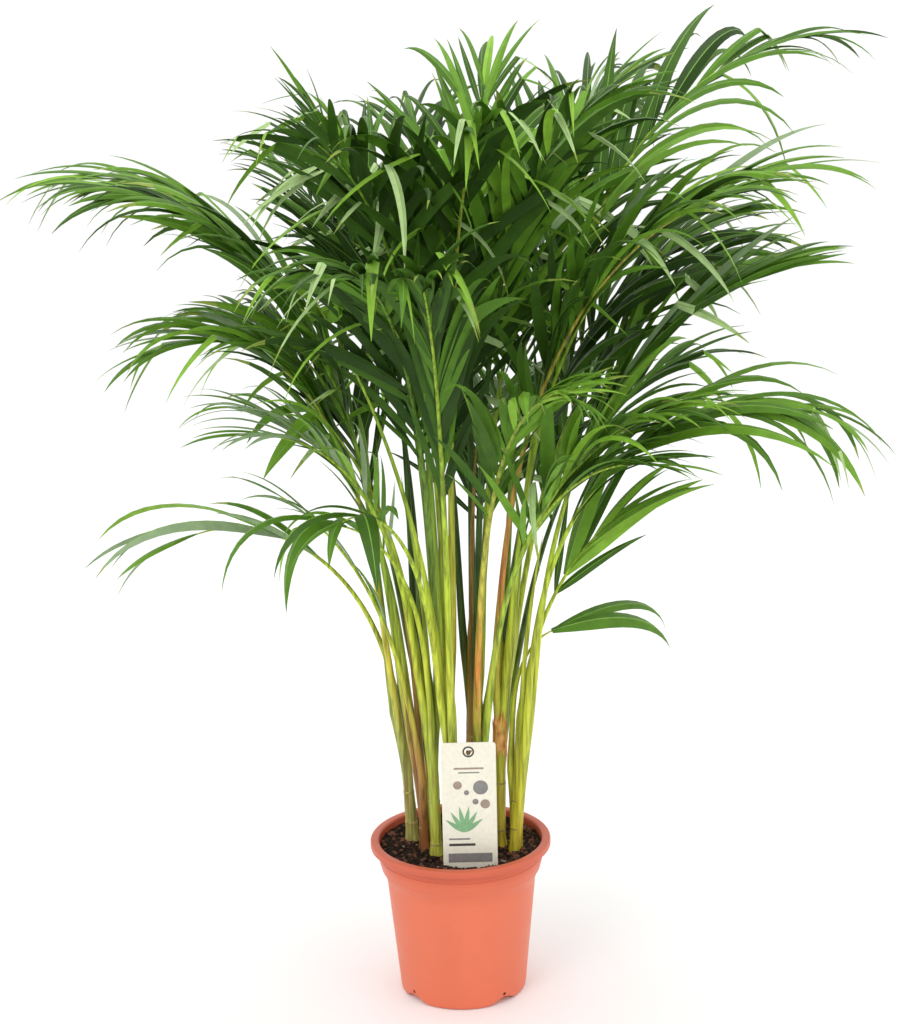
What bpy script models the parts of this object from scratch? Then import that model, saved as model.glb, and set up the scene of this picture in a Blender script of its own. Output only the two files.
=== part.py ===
"""Potted areca palm, about 1.1 m tall, in a 21 cm nursery pot.

The pot stands on z = 0 with its axis on the z axis. The front of the plant faces -Y and its
right side +X. A clump of slim canes rises from the soil, and from each cane rise a few fronds:
a long bare stalk that arches outwards and carries two rows of narrow leaflets.
"""

import itertools
import math
import random
from collections import namedtuple

import bmesh
import bpy
import numpy as np
from mathutils import Vector
from mathutils.bvhtree import BVHTree

MM = 0.001
GAP = 0.3 * MM

# Pot: a turned plastic vessel with a flared neck under a rolled lip
POT_HEIGHT = 185 * MM
RIM_RADIUS = 105 * MM
LIP_HEIGHT = 9 * MM
LIP_BEVEL = 2 * MM
LIP_FOOT_BEVEL = 1 * MM
LIP_INNER_STEP = 3 * MM
NECK_TOP_RADIUS = 95.5 * MM
NECK_TOP = 164 * MM
NECK_FOOT_RADIUS = 86.2 * MM
NECK_FOOT = 131 * MM
BASE_RADIUS = 73.5 * MM
BASE_BEVEL = 2 * MM
POT_WALL = 1.8 * MM
POT_FLOOR = 10 * MM
POT_SEGMENTS = 48
NECK_STEPS = 4

# Drainage recesses in the pot's lower edge
RECESS_COUNT = 4
RECESS_FIRST_AZIMUTH = 309
RECESS_WIDTH = 46 * MM
RECESS_HEIGHT = 8 * MM
RECESS_DEPTH = 11 * MM

# Soil
SOIL_TOP = 170 * MM

# Plant tag
TAG_WIDTH = 62 * MM
TAG_TOP = 322 * MM
TAG_THICKNESS = 0.9 * MM
TAG_PLACE = (11 * MM, -59 * MM)
TAG_CORNER = 4 * MM
TAG_FOOT_CLEAR = 1.0 * MM
TAG_TONGUE_WIDTH = 22 * MM
TAG_TONGUE_DEPTH = 42 * MM
TAG_SHOULDER_DEPTH = 29 * MM
TAG_CORNER_STEPS = 3
TAG_HOLE_RADIUS = 4.5 * MM
TAG_HOLE_DROP = 11 * MM

# Canes
CANE_SIDES = 10
CANE_TAPER = 0.32
CANE_FOOT_SWELL = 1.22
CANE_FOOT_HEIGHT = 12 * MM

# Stalks: the foot narrows to the body over the first share of the length
STALK_STEPS = 24
STALK_FOOT_RADIUS = 5.0 * MM
STALK_BODY_RADIUS = 4.2 * MM
STALK_TIP_RADIUS = 0.9 * MM
STALK_FOOT_SHARE = 0.12
STALK_SIDES = 3
STALK_SOLID_SWELL = 1.15
SOLID_STATIONS = (0, 4, 8, 12, 14, 16, 18, 20, 22, 24)
SEAT_GAP = 1.5 * GAP
SPLIT_BELOW_BLADE = 0.02

# A stalk that would touch another one is turned, or seated further round its cane, in degrees
STALK_TURNS = (0, 3, -3, 6, -6, 9, -9, 12, -12)
STALK_SWINGS = (0, 20, -20, 40, -40, 60, -60, 80, -80, 100, -100, 120, -120)

# Leaflets: places along the blade and lengths are shares, angles are in degrees
FIRST_PAIR = 0.04
LAST_PAIR = 0.97
PAIR_OFFSET = 0.02
LONGEST_PAIR = 0.3
FIRST_LEAFLET_LENGTH = 0.6
LAST_LEAFLET_LENGTH = 0.5
SPREAD_LOSS = 0.6
RISE_LOSS = 0.8
ANGLE_SCATTER = 5
RISE_SCATTER = 8
DROOP_SCATTER = 0.3
LEAFLET_BEND_STEPS = 8
LEAFLET_ROOT_DEPTH = 0.3 * MM
LEAFLET_DROOP = 11.2
EDGEWISE_DROOP = 0.3
SOLID_LEAFLET_STATIONS = ((2, 0.85), (5, 1.0))
SOLID_LEAFLET_WIDTH = 0.105
SOLID_LEAFLET_THICKNESS = 0.0108

# A leaflet that would touch another frond is turned, tilted or shortened until it is clear
LEAFLET_SIZES = (1.0, 0.92, 0.84, 0.74)
LEAFLET_TILTS = (0, 9, -9, 18, -18)
LEAFLET_TURNS = (0, 6, -6)
LEAFLET_CLEARANCE = 1.25

Cane = namedtuple("Cane", "name x y azimuth lean height radius")
Curve = namedtuple("Curve", "points tangents across uppers corner")

CANES = [
    Cane("cane_01", -0.056, 0.026, 180, 3, 0.170, 0.0076),
    Cane("cane_02", -0.041, 0.000, 200, 2, 0.150, 0.0066),
    Cane("cane_03", -0.028, -0.014, 190, 1, 0.200, 0.0072),
    Cane("cane_04", -0.034, 0.052, 130, 3, 0.215, 0.0068),
    Cane("cane_05", -0.010, 0.016, 120, 1, 0.255, 0.0074),
    Cane("cane_06", 0.016, 0.038, 60, 1, 0.245, 0.0072),
    Cane("cane_07", 0.021, -0.016, 310, 2, 0.175, 0.0068),
    Cane("cane_08", 0.046, 0.006, 0, 1, 0.230, 0.0074),
    Cane("cane_09", 0.064, -0.008, 350, 3, 0.160, 0.0076),
    Cane("cane_10", 0.044, 0.048, 50, 3, 0.200, 0.0070),
    Cane("cane_11", -0.006, -0.037, 270, 1, 0.180, 0.0066),
]

# cane: number of the cane. seat: where on the cane's height the stalk leaves it. azimuth, lean:
# where the stalk heads and how far it leans there, in degrees. arch, late: how much further it
# bends by its tip, and how late. bare: share of the length below the first leaflet.
# leaflet: length of the longest leaflet. spread, rise: how far the leaflets stand off the stalk,
# and above its sides, in degrees. roll: how much higher one side's leaflets rise than the
# other's. broad: width of the leaflets against the usual one. split: the stalk and the leafy
# blade are two solids, parted at the bend.
Frond = namedtuple(
    "Frond", "name cane seat azimuth lean arch late length bare leaflet spread rise roll pairs "
    "broad droop split")


def frond(name, cane, azimuth, lean, arch, length, late=2.2, seat=0.93, bare=0.47,
          leaflet=0.25, spread=38, rise=20, roll=0, pairs=6, broad=1.0, droop=1.0, split=False):
    """One frond, with the usual values filled in."""
    return Frond(name, cane, seat, azimuth, lean, arch, late, length, bare, leaflet, spread,
                 rise, roll, pairs, broad, droop, split)


FRONDS = [
    # Left side, from the top down
    frond("frond_01", 1, 174, 3.3, 95, 0.79, late=2.65, bare=0.42, leaflet=0.22, rise=-8,
          pairs=8, droop=0.9, split=True),
    frond("frond_02", 2, 195, 6, 70, 0.74, late=2.8, leaflet=0.24, spread=30, rise=2, pairs=8,
          droop=1.3, split=True),
    frond("frond_03", 1, 200, 6.5, 92, 0.56, late=3.4, leaflet=0.22, spread=22, rise=-5,
          droop=1.2, split=True),
    frond("frond_04", 4, 150, 10, 60, 0.47, late=2.3, leaflet=0.22),
    frond("frond_05", 2, 165, 5, 76, 0.45, late=2.6, leaflet=0.18, droop=1.5),
    frond("frond_06", 3, 215, 7, 76, 0.42, late=2.3, leaflet=0.17),
    frond("frond_07", 2, 180, 7, 48, 0.39, late=1.9, seat=0.60, leaflet=0.15, spread=14,
          pairs=4, droop=1.6),
    frond("frond_08", 1, 178, 8, 101, 0.38, late=1.7, seat=0.82, bare=0.60, leaflet=0.24,
          spread=12, rise=-4, pairs=4, broad=1.7, split=True),
    frond("frond_09", 3, 218, 3, 80, 0.34, late=2.4, seat=0.70, bare=0.84, leaflet=0.19,
          spread=26, pairs=3, broad=1.8, droop=3.2),
    # Top, from left to right
    frond("frond_10", 4, 140, 2, 60, 0.64, late=2.4, leaflet=0.17),
    frond("frond_11", 4, 115, 2, 46, 0.64, late=2.8, leaflet=0.22),
    frond("frond_12", 5, 95, 3, 58, 0.67, late=1.8),
    frond("frond_13", 6, 80, 2, 41, 0.67, late=2.3, leaflet=0.24),
    frond("frond_14", 10, 60, 5, 56, 0.75),
    # Right side, from the top down
    frond("frond_15", 8, 18, 6, 74, 0.83, late=2.6, leaflet=0.24, spread=34, rise=34, roll=30,
          pairs=9, broad=1.2, droop=1.2, split=True),
    frond("frond_16", 8, 350, 5.5, 74, 0.68, late=2.4, leaflet=0.24, rise=16, pairs=8,
          droop=0.8, split=True),
    frond("frond_17", 9, 10, 5, 68, 0.61, late=2.0, spread=14, rise=8, pairs=7, droop=0.5),
    frond("frond_18", 7, 325, 6, 62, 0.47, late=1.5, leaflet=0.20),
    frond("frond_19", 9, 345, 3, 95, 0.56, late=1.8, seat=0.86, leaflet=0.26, spread=24,
          rise=0, pairs=8, droop=1.3, split=True),
    frond("frond_20", 10, 20, 9, 58, 0.58, late=2.0, leaflet=0.23, rise=8),
    frond("frond_21", 9, 5, 5, 44, 0.27, late=1.3, bare=0.60, leaflet=0.20, spread=22, rise=0,
          roll=48, pairs=3, broad=1.5, droop=0.9),
    frond("frond_22", 9, 20, 3, 90, 0.19, late=3.5, seat=0.60, bare=0.95, leaflet=0.32,
          spread=5, rise=0, roll=16, pairs=1, broad=2.0, droop=1.2),
    # A low pair that hangs on the left
    frond("frond_39", 3, 200, 4.5, 38, 0.39, late=1.6, bare=0.95, leaflet=0.19, spread=76,
          rise=-35, roll=-15, pairs=1, broad=2.6, droop=3.4),
    # Towards the front
    frond("frond_23", 11, 265, 4, 56, 0.58, late=2.4, leaflet=0.22, spread=15, rise=10),
    frond("frond_24", 11, 240, 8, 88, 0.38, bare=0.80, leaflet=0.16, spread=44, pairs=3,
          broad=2.0, droop=2.8),
    frond("frond_25", 7, 292, 6, 86, 0.55, leaflet=0.17, spread=26),
    frond("frond_26", 7, 310, 10, 80, 0.43, leaflet=0.16, spread=24),
    frond("frond_27", 3, 255, 4, 72, 0.62),
    frond("frond_28", 5, 240, 3, 62, 0.66, late=2.6),
    frond("frond_29", 5, 280, 3, 58, 0.66, late=2.6),
    frond("frond_30", 6, 300, 4, 58, 0.69, late=2.6),
    # Towards the back and the right
    frond("frond_31", 10, 25, 8, 66, 0.62),
    frond("frond_32", 6, 78, 9, 90, 0.48, seat=0.60),
    frond("frond_33", 6, 110, 5, 60, 0.56),
    frond("frond_34", 10, 30, 12, 66, 0.50, seat=0.70, leaflet=0.20),
    # A low pair that hangs at the front
    frond("frond_35", 11, 212, 7, 26, 0.52, late=1.6, bare=0.95, leaflet=0.14, spread=58,
          rise=10, pairs=1, broad=3.0, droop=2.6),
    # The youngest, upright in the middle
    frond("frond_36", 5, 200, 2, 24, 0.60, late=1.8, leaflet=0.22),
    frond("frond_37", 6, 32, 2, 34, 0.68, late=1.8, seat=0.80, leaflet=0.23),
    frond("frond_38", 8, 335, 5, 62, 0.64, late=2.0, leaflet=0.23),
]

MATERIALS = {
    "pot": ((0.75, 0.20, 0.09), 0.45),
    "soil": ((0.03, 0.018, 0.012), 0.95),
    "plant_tag": ((0.80, 0.78, 0.68), 0.5),
    "cane": ((0.42, 0.47, 0.09), 0.5),
    "frond": ((0.09, 0.22, 0.03), 0.45),
}


# Scene and mesh helpers

def clear_scene():
    for item in list(bpy.data.objects):
        bpy.data.objects.remove(item, do_unlink=True)


def material(kind):
    """The kind's own Principled material, made once."""
    found = bpy.data.materials.get(kind)
    if found:
        return found
    colour, roughness = MATERIALS[kind]
    made = bpy.data.materials.new(kind)
    made.use_nodes = True
    shader = made.node_tree.nodes["Principled BSDF"]
    shader.inputs["Base Color"].default_value = (*colour, 1.0)
    shader.inputs["Roughness"].default_value = roughness
    shader.inputs["Metallic"].default_value = 0.0
    return made


def mesh_object(name, points, faces, kind, collection=None):
    """A named object from points and faces, with its normals turned outwards."""
    mesh = bpy.data.meshes.new(name)
    mesh.from_pydata([tuple(float(c) for c in p) for p in points], [], faces)
    work = bmesh.new()
    work.from_mesh(mesh)
    bmesh.ops.recalc_face_normals(work, faces=work.faces)
    work.to_mesh(mesh)
    work.free()
    mesh.materials.append(material(kind))
    made = bpy.data.objects.new(name, mesh)
    (collection or bpy.context.scene.collection).objects.link(made)
    return made


def turned(name, profile, segments, kind):
    """A closed solid turned about the z axis from an outline of (radius, height) points."""
    points = []
    rings = []
    for radius, height in profile:
        if radius == 0:
            rings.append([len(points)])
            points.append((0, 0, height))
            continue
        ring = []
        for step in range(segments):
            angle = 2 * math.pi * step / segments
            ring.append(len(points))
            points.append((radius * math.cos(angle), radius * math.sin(angle), height))
        rings.append(ring)
    faces = []
    for low, high in zip(rings, rings[1:] + rings[:1]):
        if len(low) == 1 and len(high) == 1:
            continue
        for step in range(segments):
            after = (step + 1) % segments
            if len(low) == 1:
                faces.append((low[0], high[after], high[step]))
            elif len(high) == 1:
                faces.append((low[step], low[after], high[0]))
            else:
                faces.append((low[step], low[after], high[after], high[step]))
    return mesh_object(name, points, faces, kind)


def tube(points, tangents, uppers, radii, sides):
    """Points and faces of a closed tube with flat ends, its first corner on the upper side."""
    rings = []
    for point, tangent, upper, radius in zip(points, tangents, uppers, radii):
        across = np.cross(tangent, upper)
        for step in range(sides):
            angle = 2 * math.pi * step / sides
            rings.append(point + radius * (math.cos(angle) * upper + math.sin(angle) * across))
    faces = [tuple(range(sides))]
    for station in range(len(points) - 1):
        low = station * sides
        for step in range(sides):
            after = (step + 1) % sides
            faces.append((low + step, low + after, low + sides + after, low + sides + step))
    last = (len(points) - 1) * sides
    faces.append(tuple(range(last, last + sides)))
    return rings, faces


def boolean(target, operation, other=None, group=None, solver="EXACT", apply=False):
    """Cut or join an object with another one, or with a whole collection."""
    modifier = target.modifiers.new(operation.lower(), "BOOLEAN")
    modifier.operation = operation
    modifier.solver = solver
    if group:
        modifier.operand_type = "COLLECTION"
        modifier.collection = group
    else:
        modifier.object = other
    if not apply:
        return
    bpy.context.view_layer.update()
    evaluated = target.evaluated_get(bpy.context.evaluated_depsgraph_get())
    joined = bpy.data.meshes.new_from_object(evaluated)
    target.modifiers.clear()
    target.data = joined


def cutter_box(name, size, place, azimuth=0.0):
    """A box that only cuts: hidden from renders and drawn as wire."""
    points = [(x * size[0] / 2, y * size[1] / 2, z * size[2] / 2)
              for x in (-1, 1) for y in (-1, 1) for z in (-1, 1)]
    faces = [(0, 1, 3, 2), (4, 6, 7, 5), (0, 4, 5, 1), (2, 3, 7, 6), (0, 2, 6, 4), (1, 5, 7, 3)]
    cutter = mesh_object(name, points, faces, "soil")
    cutter.location = place
    cutter.rotation_euler.z = math.radians(azimuth)
    cutter.hide_render = True
    cutter.display_type = "WIRE"
    return cutter


# Directions and curves

def heading(azimuth, lean):
    """Unit vector that leans from the vertical towards an azimuth, both in degrees."""
    turn = math.radians(azimuth)
    tilt = math.radians(lean)
    return np.array([math.sin(tilt) * math.cos(turn), math.sin(tilt) * math.sin(turn),
                     math.cos(tilt)])


def unit(vector):
    return vector / np.linalg.norm(vector)


def cane_point(cane, share):
    """The point on a cane's axis at a share of its height above the soil."""
    foot = np.array([cane.x, cane.y, SOIL_TOP + GAP])
    return foot + heading(cane.azimuth, cane.lean) * cane.height * share


def cane_radius(cane, share):
    return cane.radius * (1 - CANE_TAPER * share)


def stalk_radius(share):
    """Radius of a stalk, from its sheathing foot to its tip."""
    places = (0, STALK_FOOT_SHARE, 1)
    return np.interp(share, places, (STALK_FOOT_RADIUS, STALK_BODY_RADIUS, STALK_TIP_RADIUS))


def stalk_line(leaf, side, turn):
    """Points, tangents, cross direction and upper sides along a frond's stalk.

    side is the azimuth at which the stalk's foot sits on its cane, and turn is added to the
    frond's own azimuth. corner is the angle from the upper side to the cane, at the foot.
    """
    cane = CANES[leaf.cane - 1]
    reach = cane_radius(cane, leaf.seat) + STALK_FOOT_RADIUS * STALK_SOLID_SWELL + SEAT_GAP
    place = cane_point(cane, leaf.seat) + heading(side, 90) * reach
    azimuth = leaf.azimuth + turn
    step_length = leaf.length / STALK_STEPS
    points = []
    tangents = []
    uppers = []
    for step in range(STALK_STEPS + 1):
        share = step / STALK_STEPS
        lean = leaf.lean + leaf.arch * share ** leaf.late
        points.append(place)
        tangents.append(heading(azimuth, lean))
        uppers.append(heading(azimuth + 180, 90 - lean))
        middle = (step + 0.5) / STALK_STEPS
        place = place + heading(azimuth, leaf.lean + leaf.arch * middle ** leaf.late) * step_length
    across = heading(azimuth + 90, 90)
    towards_cane = -heading(side, 90)
    corner = math.atan2(np.dot(towards_cane, across), np.dot(towards_cane, uppers[0]))
    return Curve(np.array(points), np.array(tangents), across, np.array(uppers), corner)


def line_gap(line, radii, other, other_radii):
    """Smallest clear distance between two tapering round lines."""
    start = other[:-1][None]
    run = (other[1:] - other[:-1])[None]
    share = ((line[:, None] - start) * run).sum(2) / np.maximum((run ** 2).sum(2), 1e-12)
    share = np.clip(share, 0, 1)
    nearest = start + run * share[..., None]
    thick = other_radii[:-1][None] * (1 - share) + other_radii[1:][None] * share
    distance = np.linalg.norm(line[:, None] - nearest, axis=2) - thick - radii[:, None]
    return distance.min()


def finer(line, values, times=4):
    """The same line and values with more points."""
    count = (len(line) - 1) * times + 1
    at = np.linspace(0, len(line) - 1, count)
    whole = np.arange(len(line))
    points = np.stack([np.interp(at, whole, line[:, axis]) for axis in range(3)], axis=1)
    return points, np.interp(at, whole, values)


def settle_stalks():
    """Seat every stalk on its cane, turned as little as keeps it clear of all the others."""
    taken = []
    for cane in CANES:
        shares = np.linspace(0, 1, 12)
        line = np.array([cane_point(cane, share) for share in shares])
        taken.append((line, np.array([cane_radius(cane, share) for share in shares])))
    shares = np.arange(STALK_STEPS + 1) / STALK_STEPS
    radii = np.array([stalk_radius(share) for share in shares]) * STALK_SOLID_SWELL
    settled = {}
    for leaf in FRONDS:
        best = None
        for turn in STALK_TURNS:
            for swing in STALK_SWINGS:
                curve = stalk_line(leaf, leaf.azimuth + swing, turn)
                line, thick = finer(curve.points, radii)
                clear = min(line_gap(line, thick, *one) for one in taken)
                if best is None or clear > best[0]:
                    best = (clear, curve)
                if clear > GAP:
                    break
            if best[0] > GAP:
                break
        settled[leaf.name] = best[1]
        taken.append((best[1].points, radii))
    return settled


# Leaflets

def leaflet_share(along):
    """Length of a leaflet as a share of the frond's longest, by its place on the blade."""
    if along < LONGEST_PAIR:
        rise = math.sin(math.pi / 2 * along / LONGEST_PAIR)
        return FIRST_LEAFLET_LENGTH + (1 - FIRST_LEAFLET_LENGTH) * rise
    fall = ((along - LONGEST_PAIR) / (1 - LONGEST_PAIR)) ** 1.5
    return 1 - (1 - LAST_LEAFLET_LENGTH) * fall


def on_stalk(curve, share):
    """Point, tangent, cross direction and upper side at a share of the stalk's length."""
    place = share * STALK_STEPS
    step = min(int(place), STALK_STEPS - 1)
    part = place - step
    point = curve.points[step] * (1 - part) + curve.points[step + 1] * part
    tangent = unit(curve.tangents[step] * (1 - part) + curve.tangents[step + 1] * part)
    upper = unit(curve.uppers[step] * (1 - part) + curve.uppers[step + 1] * part)
    return point, tangent, curve.across, upper


def leaflet_line(leaf, curve, along, side, angle_shift=0.0, lift=0.0, droop=1.0, size=1.0):
    """Points, width directions and upper sides of one leaflet that arches and droops."""
    root, tangent, across, upper = on_stalk(curve, leaf.bare + (1 - leaf.bare) * along)
    angle = math.radians(leaf.spread * (1 - SPREAD_LOSS * along ** 1.2) + angle_shift)
    rise = math.radians((leaf.rise + side * leaf.roll) * (1 - RISE_LOSS * along) + lift)
    sideways = math.cos(rise) * side * across + math.sin(rise) * upper
    way = math.cos(angle) * tangent + math.sin(angle) * sideways
    width = unit(tangent - way * np.dot(tangent, way))
    face = np.cross(width, way)
    if np.dot(face, upper) < 0:
        face = -face
    length = leaf.leaflet * leaflet_share(along) * size
    points = [root - way * LEAFLET_ROOT_DEPTH]
    widths = [width]
    faces = [face]
    down = np.array([0.0, 0.0, -1.0])
    for step in range(LEAFLET_BEND_STEPS):
        pull = leaf.droop * droop * LEAFLET_DROOP * length * (step + 1) / LEAFLET_BEND_STEPS ** 2
        bend = face * np.dot(down, face) + EDGEWISE_DROOP * width * np.dot(down, width)
        way = unit(way + bend * pull)
        width = unit(width - way * np.dot(width, way))
        turned_face = np.cross(width, way)
        face = turned_face if np.dot(turned_face, face) > 0 else -turned_face
        points.append(points[-1] + way * length / LEAFLET_BEND_STEPS)
        widths.append(width)
        faces.append(face)
    return np.array(points), np.array(widths), np.array(faces), length


def leaflet_solid(line, broad, swell=1.0):
    """A thin blade of twelve faces: a ridge on top and two edges, pointed at both ends."""
    points, widths, uppers, length = line
    half_width = SOLID_LEAFLET_WIDTH * math.sqrt(broad) * length / 2 * swell
    half_thick = SOLID_LEAFLET_THICKNESS * length / 2 * swell
    corners = [points[0]]
    for step, share in SOLID_LEAFLET_STATIONS:
        middle = points[step]
        half = half_width * share
        corners.append(middle + widths[step] * half - uppers[step] * half_thick)
        corners.append(middle - widths[step] * half - uppers[step] * half_thick)
        corners.append(middle + uppers[step] * half_thick)
    corners.append(points[-1])
    faces = [(0, 2, 1), (0, 3, 2), (0, 1, 3), (7, 4, 5), (7, 5, 6), (7, 6, 4)]
    for first, second in ((1, 2), (2, 3), (3, 1)):
        faces.append((first, second, second + 3))
        faces.append((first, second + 3, first + 3))
    return corners, faces


# The parts

def pot_outline():
    """Outer and inner wall of the pot, as (radius, height) points from the floor's middle."""
    taper = (NECK_FOOT_RADIUS - BASE_RADIUS) / NECK_FOOT
    outer = [(0, 0), (BASE_RADIUS - BASE_BEVEL, 0), (BASE_RADIUS + taper * BASE_BEVEL, BASE_BEVEL)]
    for step in range(NECK_STEPS + 1):
        share = step / NECK_STEPS
        ease = (1 - math.cos(math.pi * share)) / 2
        radius = NECK_FOOT_RADIUS + (NECK_TOP_RADIUS - NECK_FOOT_RADIUS) * ease
        outer.append((radius, NECK_FOOT + (NECK_TOP - NECK_FOOT) * share))
    lip_foot = POT_HEIGHT - LIP_HEIGHT
    outer.append((NECK_TOP_RADIUS, lip_foot))
    outer.append((RIM_RADIUS - LIP_FOOT_BEVEL, lip_foot))
    outer.append((RIM_RADIUS, lip_foot + LIP_FOOT_BEVEL))
    outer.append((RIM_RADIUS, POT_HEIGHT - LIP_BEVEL))
    outer.append((RIM_RADIUS - LIP_BEVEL, POT_HEIGHT))
    inner = [(NECK_TOP_RADIUS + LIP_BEVEL - POT_WALL, POT_HEIGHT),
             (NECK_TOP_RADIUS - POT_WALL, POT_HEIGHT - LIP_INNER_STEP)]
    return outer + inner + inner_wall() + [(0, POT_FLOOR)]


def inner_wall(shrink=0.0):
    """The inside of the wall below the lip, top to bottom, shrunk by a gap for what fills it."""
    wall = []
    for step in range(NECK_STEPS + 1):
        share = 1 - step / NECK_STEPS
        ease = (1 - math.cos(math.pi * share)) / 2
        radius = NECK_FOOT_RADIUS + (NECK_TOP_RADIUS - NECK_FOOT_RADIUS) * ease
        wall.append((radius - POT_WALL - shrink, NECK_FOOT + (NECK_TOP - NECK_FOOT) * share))
    taper = (NECK_FOOT_RADIUS - BASE_RADIUS) / NECK_FOOT
    wall.append((BASE_RADIUS + taper * POT_FLOOR - POT_WALL - shrink, POT_FLOOR + shrink))
    return wall


def make_pot():
    pot = turned("pot", pot_outline(), POT_SEGMENTS, "pot")
    for number in range(RECESS_COUNT):
        azimuth = RECESS_FIRST_AZIMUTH + number * 360 / RECESS_COUNT
        middle = BASE_RADIUS - RECESS_DEPTH + BASE_RADIUS / 2
        place = heading(azimuth, 90) * middle
        size = (BASE_RADIUS, RECESS_WIDTH, 2 * RECESS_HEIGHT)
        cutter = cutter_box("recess_%d" % (number + 1), size, place, azimuth)
        boolean(pot, "DIFFERENCE", other=cutter, apply=True)
        bpy.data.objects.remove(cutter, do_unlink=True)
    pot.data.shade_smooth()
    pot.data.set_sharp_from_angle(angle=math.radians(30))


def make_soil():
    wall = inner_wall(GAP)
    profile = [(0, POT_FLOOR + GAP)] + wall[::-1] + [(wall[0][0], SOIL_TOP), (0, SOIL_TOP)]
    soil = turned("soil", profile, POT_SEGMENTS, "soil")
    size = (TAG_TONGUE_WIDTH + 2 * GAP, TAG_THICKNESS + 2 * GAP, 2 * (TAG_TONGUE_DEPTH + GAP))
    slot = cutter_box("tag_slot", size, (*TAG_PLACE, SOIL_TOP))
    boolean(soil, "DIFFERENCE", other=slot, apply=True)
    bpy.data.objects.remove(slot, do_unlink=True)


def tag_outline():
    """The card's outline seen from the front: round corners and a tongue below."""
    half = TAG_WIDTH / 2
    foot = SOIL_TOP + TAG_FOOT_CLEAR
    tongue = TAG_TONGUE_WIDTH / 2
    shoulder = SOIL_TOP - TAG_SHOULDER_DEPTH
    outline = [(tongue, foot), (tongue, shoulder), (0, SOIL_TOP - TAG_TONGUE_DEPTH),
               (-tongue, shoulder), (-tongue, foot)]
    corners = ((-half, foot, 270), (-half, TAG_TOP, 180), (half, TAG_TOP, 90), (half, foot, 0))
    for x, z, start in corners:
        centre_x = x - math.copysign(TAG_CORNER, x)
        centre_z = z + TAG_CORNER if z == foot else z - TAG_CORNER
        for step in range(TAG_CORNER_STEPS + 1):
            angle = math.radians(start - step * 90 / TAG_CORNER_STEPS)
            outline.append((centre_x + TAG_CORNER * math.cos(angle),
                            centre_z + TAG_CORNER * math.sin(angle)))
    return outline


def make_tag():
    outline = tag_outline()
    x, y = TAG_PLACE
    points = [(x + across, y - TAG_THICKNESS / 2, up) for across, up in outline]
    points += [(x + across, y + TAG_THICKNESS / 2, up) for across, up in outline]
    count = len(outline)
    faces = [tuple(range(count)), tuple(range(2 * count - 1, count - 1, -1))]
    for step in range(count):
        after = (step + 1) % count
        faces.append((step, step + count, after + count, after))
    tag = mesh_object("plant_tag", points, faces, "plant_tag")
    bpy.ops.mesh.primitive_cylinder_add(
        vertices=16, radius=TAG_HOLE_RADIUS, depth=8 * TAG_THICKNESS,
        location=(x, y, TAG_TOP - TAG_HOLE_DROP), rotation=(math.pi / 2, 0, 0))
    hole = bpy.context.object
    boolean(tag, "DIFFERENCE", other=hole, apply=True)
    bpy.data.objects.remove(hole, do_unlink=True)


def make_cane(cane):
    """A tapering limb with a swollen foot, cut flat where it meets the soil."""
    shares = (0, CANE_FOOT_HEIGHT / cane.height, 0.5, 1)
    points = [cane_point(cane, share) for share in shares]
    radii = [cane_radius(cane, share) for share in shares]
    radii[0] *= CANE_FOOT_SWELL
    along = heading(cane.azimuth, cane.lean)
    upright = np.array([0.0, 0.0, 1.0])
    tangents = [upright, along, along, along]
    uppers = [unit(np.cross(tangent, np.array([0.0, 1.0, 0.0]))) for tangent in tangents]
    rings, faces = tube(points, tangents, uppers, radii, CANE_SIDES)
    made = mesh_object(cane.name, rings, faces, "cane")
    made.data.shade_smooth()
    made.data.set_sharp_from_angle(angle=math.radians(50))


def straightened(curve):
    """The stalk's curve with straight runs between the stations of its solid."""
    every = np.arange(STALK_STEPS + 1)
    stations = list(SOLID_STATIONS)
    runs = [np.interp(every, stations, curve.points[stations, axis]) for axis in range(3)]
    return curve._replace(points=np.stack(runs, axis=1))


def stalk_solid(curve, first, last):
    """Three-sided tube along part of the stalk, one of its corners set towards the cane."""
    steps = [step for step in SOLID_STATIONS if first <= step <= last]
    radii = [stalk_radius(step / STALK_STEPS) * STALK_SOLID_SWELL for step in steps]
    corners = math.cos(curve.corner) * curve.uppers[steps] + math.sin(curve.corner) * curve.across
    return tube(curve.points[steps], curve.tangents[steps], corners, radii, STALK_SIDES)


def tree_of(points, faces):
    """Search tree of a solid's faces, for overlap tests."""
    triangles = []
    for face in faces:
        triangles += [(face[0], face[i], face[i + 1]) for i in range(1, len(face) - 1)]
    return BVHTree.FromPolygons([Vector(p) for p in points], triangles)


def blade_start(leaf):
    """The solid station at which a split frond is parted, at the bend below its leaflets."""
    highest = (leaf.bare - SPLIT_BELOW_BLADE) * STALK_STEPS
    return max(step for step in SOLID_STATIONS if step <= highest)


def stalk_pieces(leaf, curve):
    """Name, points and faces of each three-sided solid that a frond's stalk is made of."""
    if not leaf.split:
        return [(leaf.name, *stalk_solid(curve, 0, STALK_STEPS))]
    part = blade_start(leaf)
    lower = stalk_solid(curve, 0, part)
    upper = stalk_solid(curve, part, STALK_STEPS)
    shift = curve.tangents[part] * GAP
    raised = [point + shift for point in upper[0][:STALK_SIDES]] + upper[0][STALK_SIDES:]
    return [(leaf.name + "_stalk", *lower), (leaf.name, raised, upper[1])]


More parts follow.
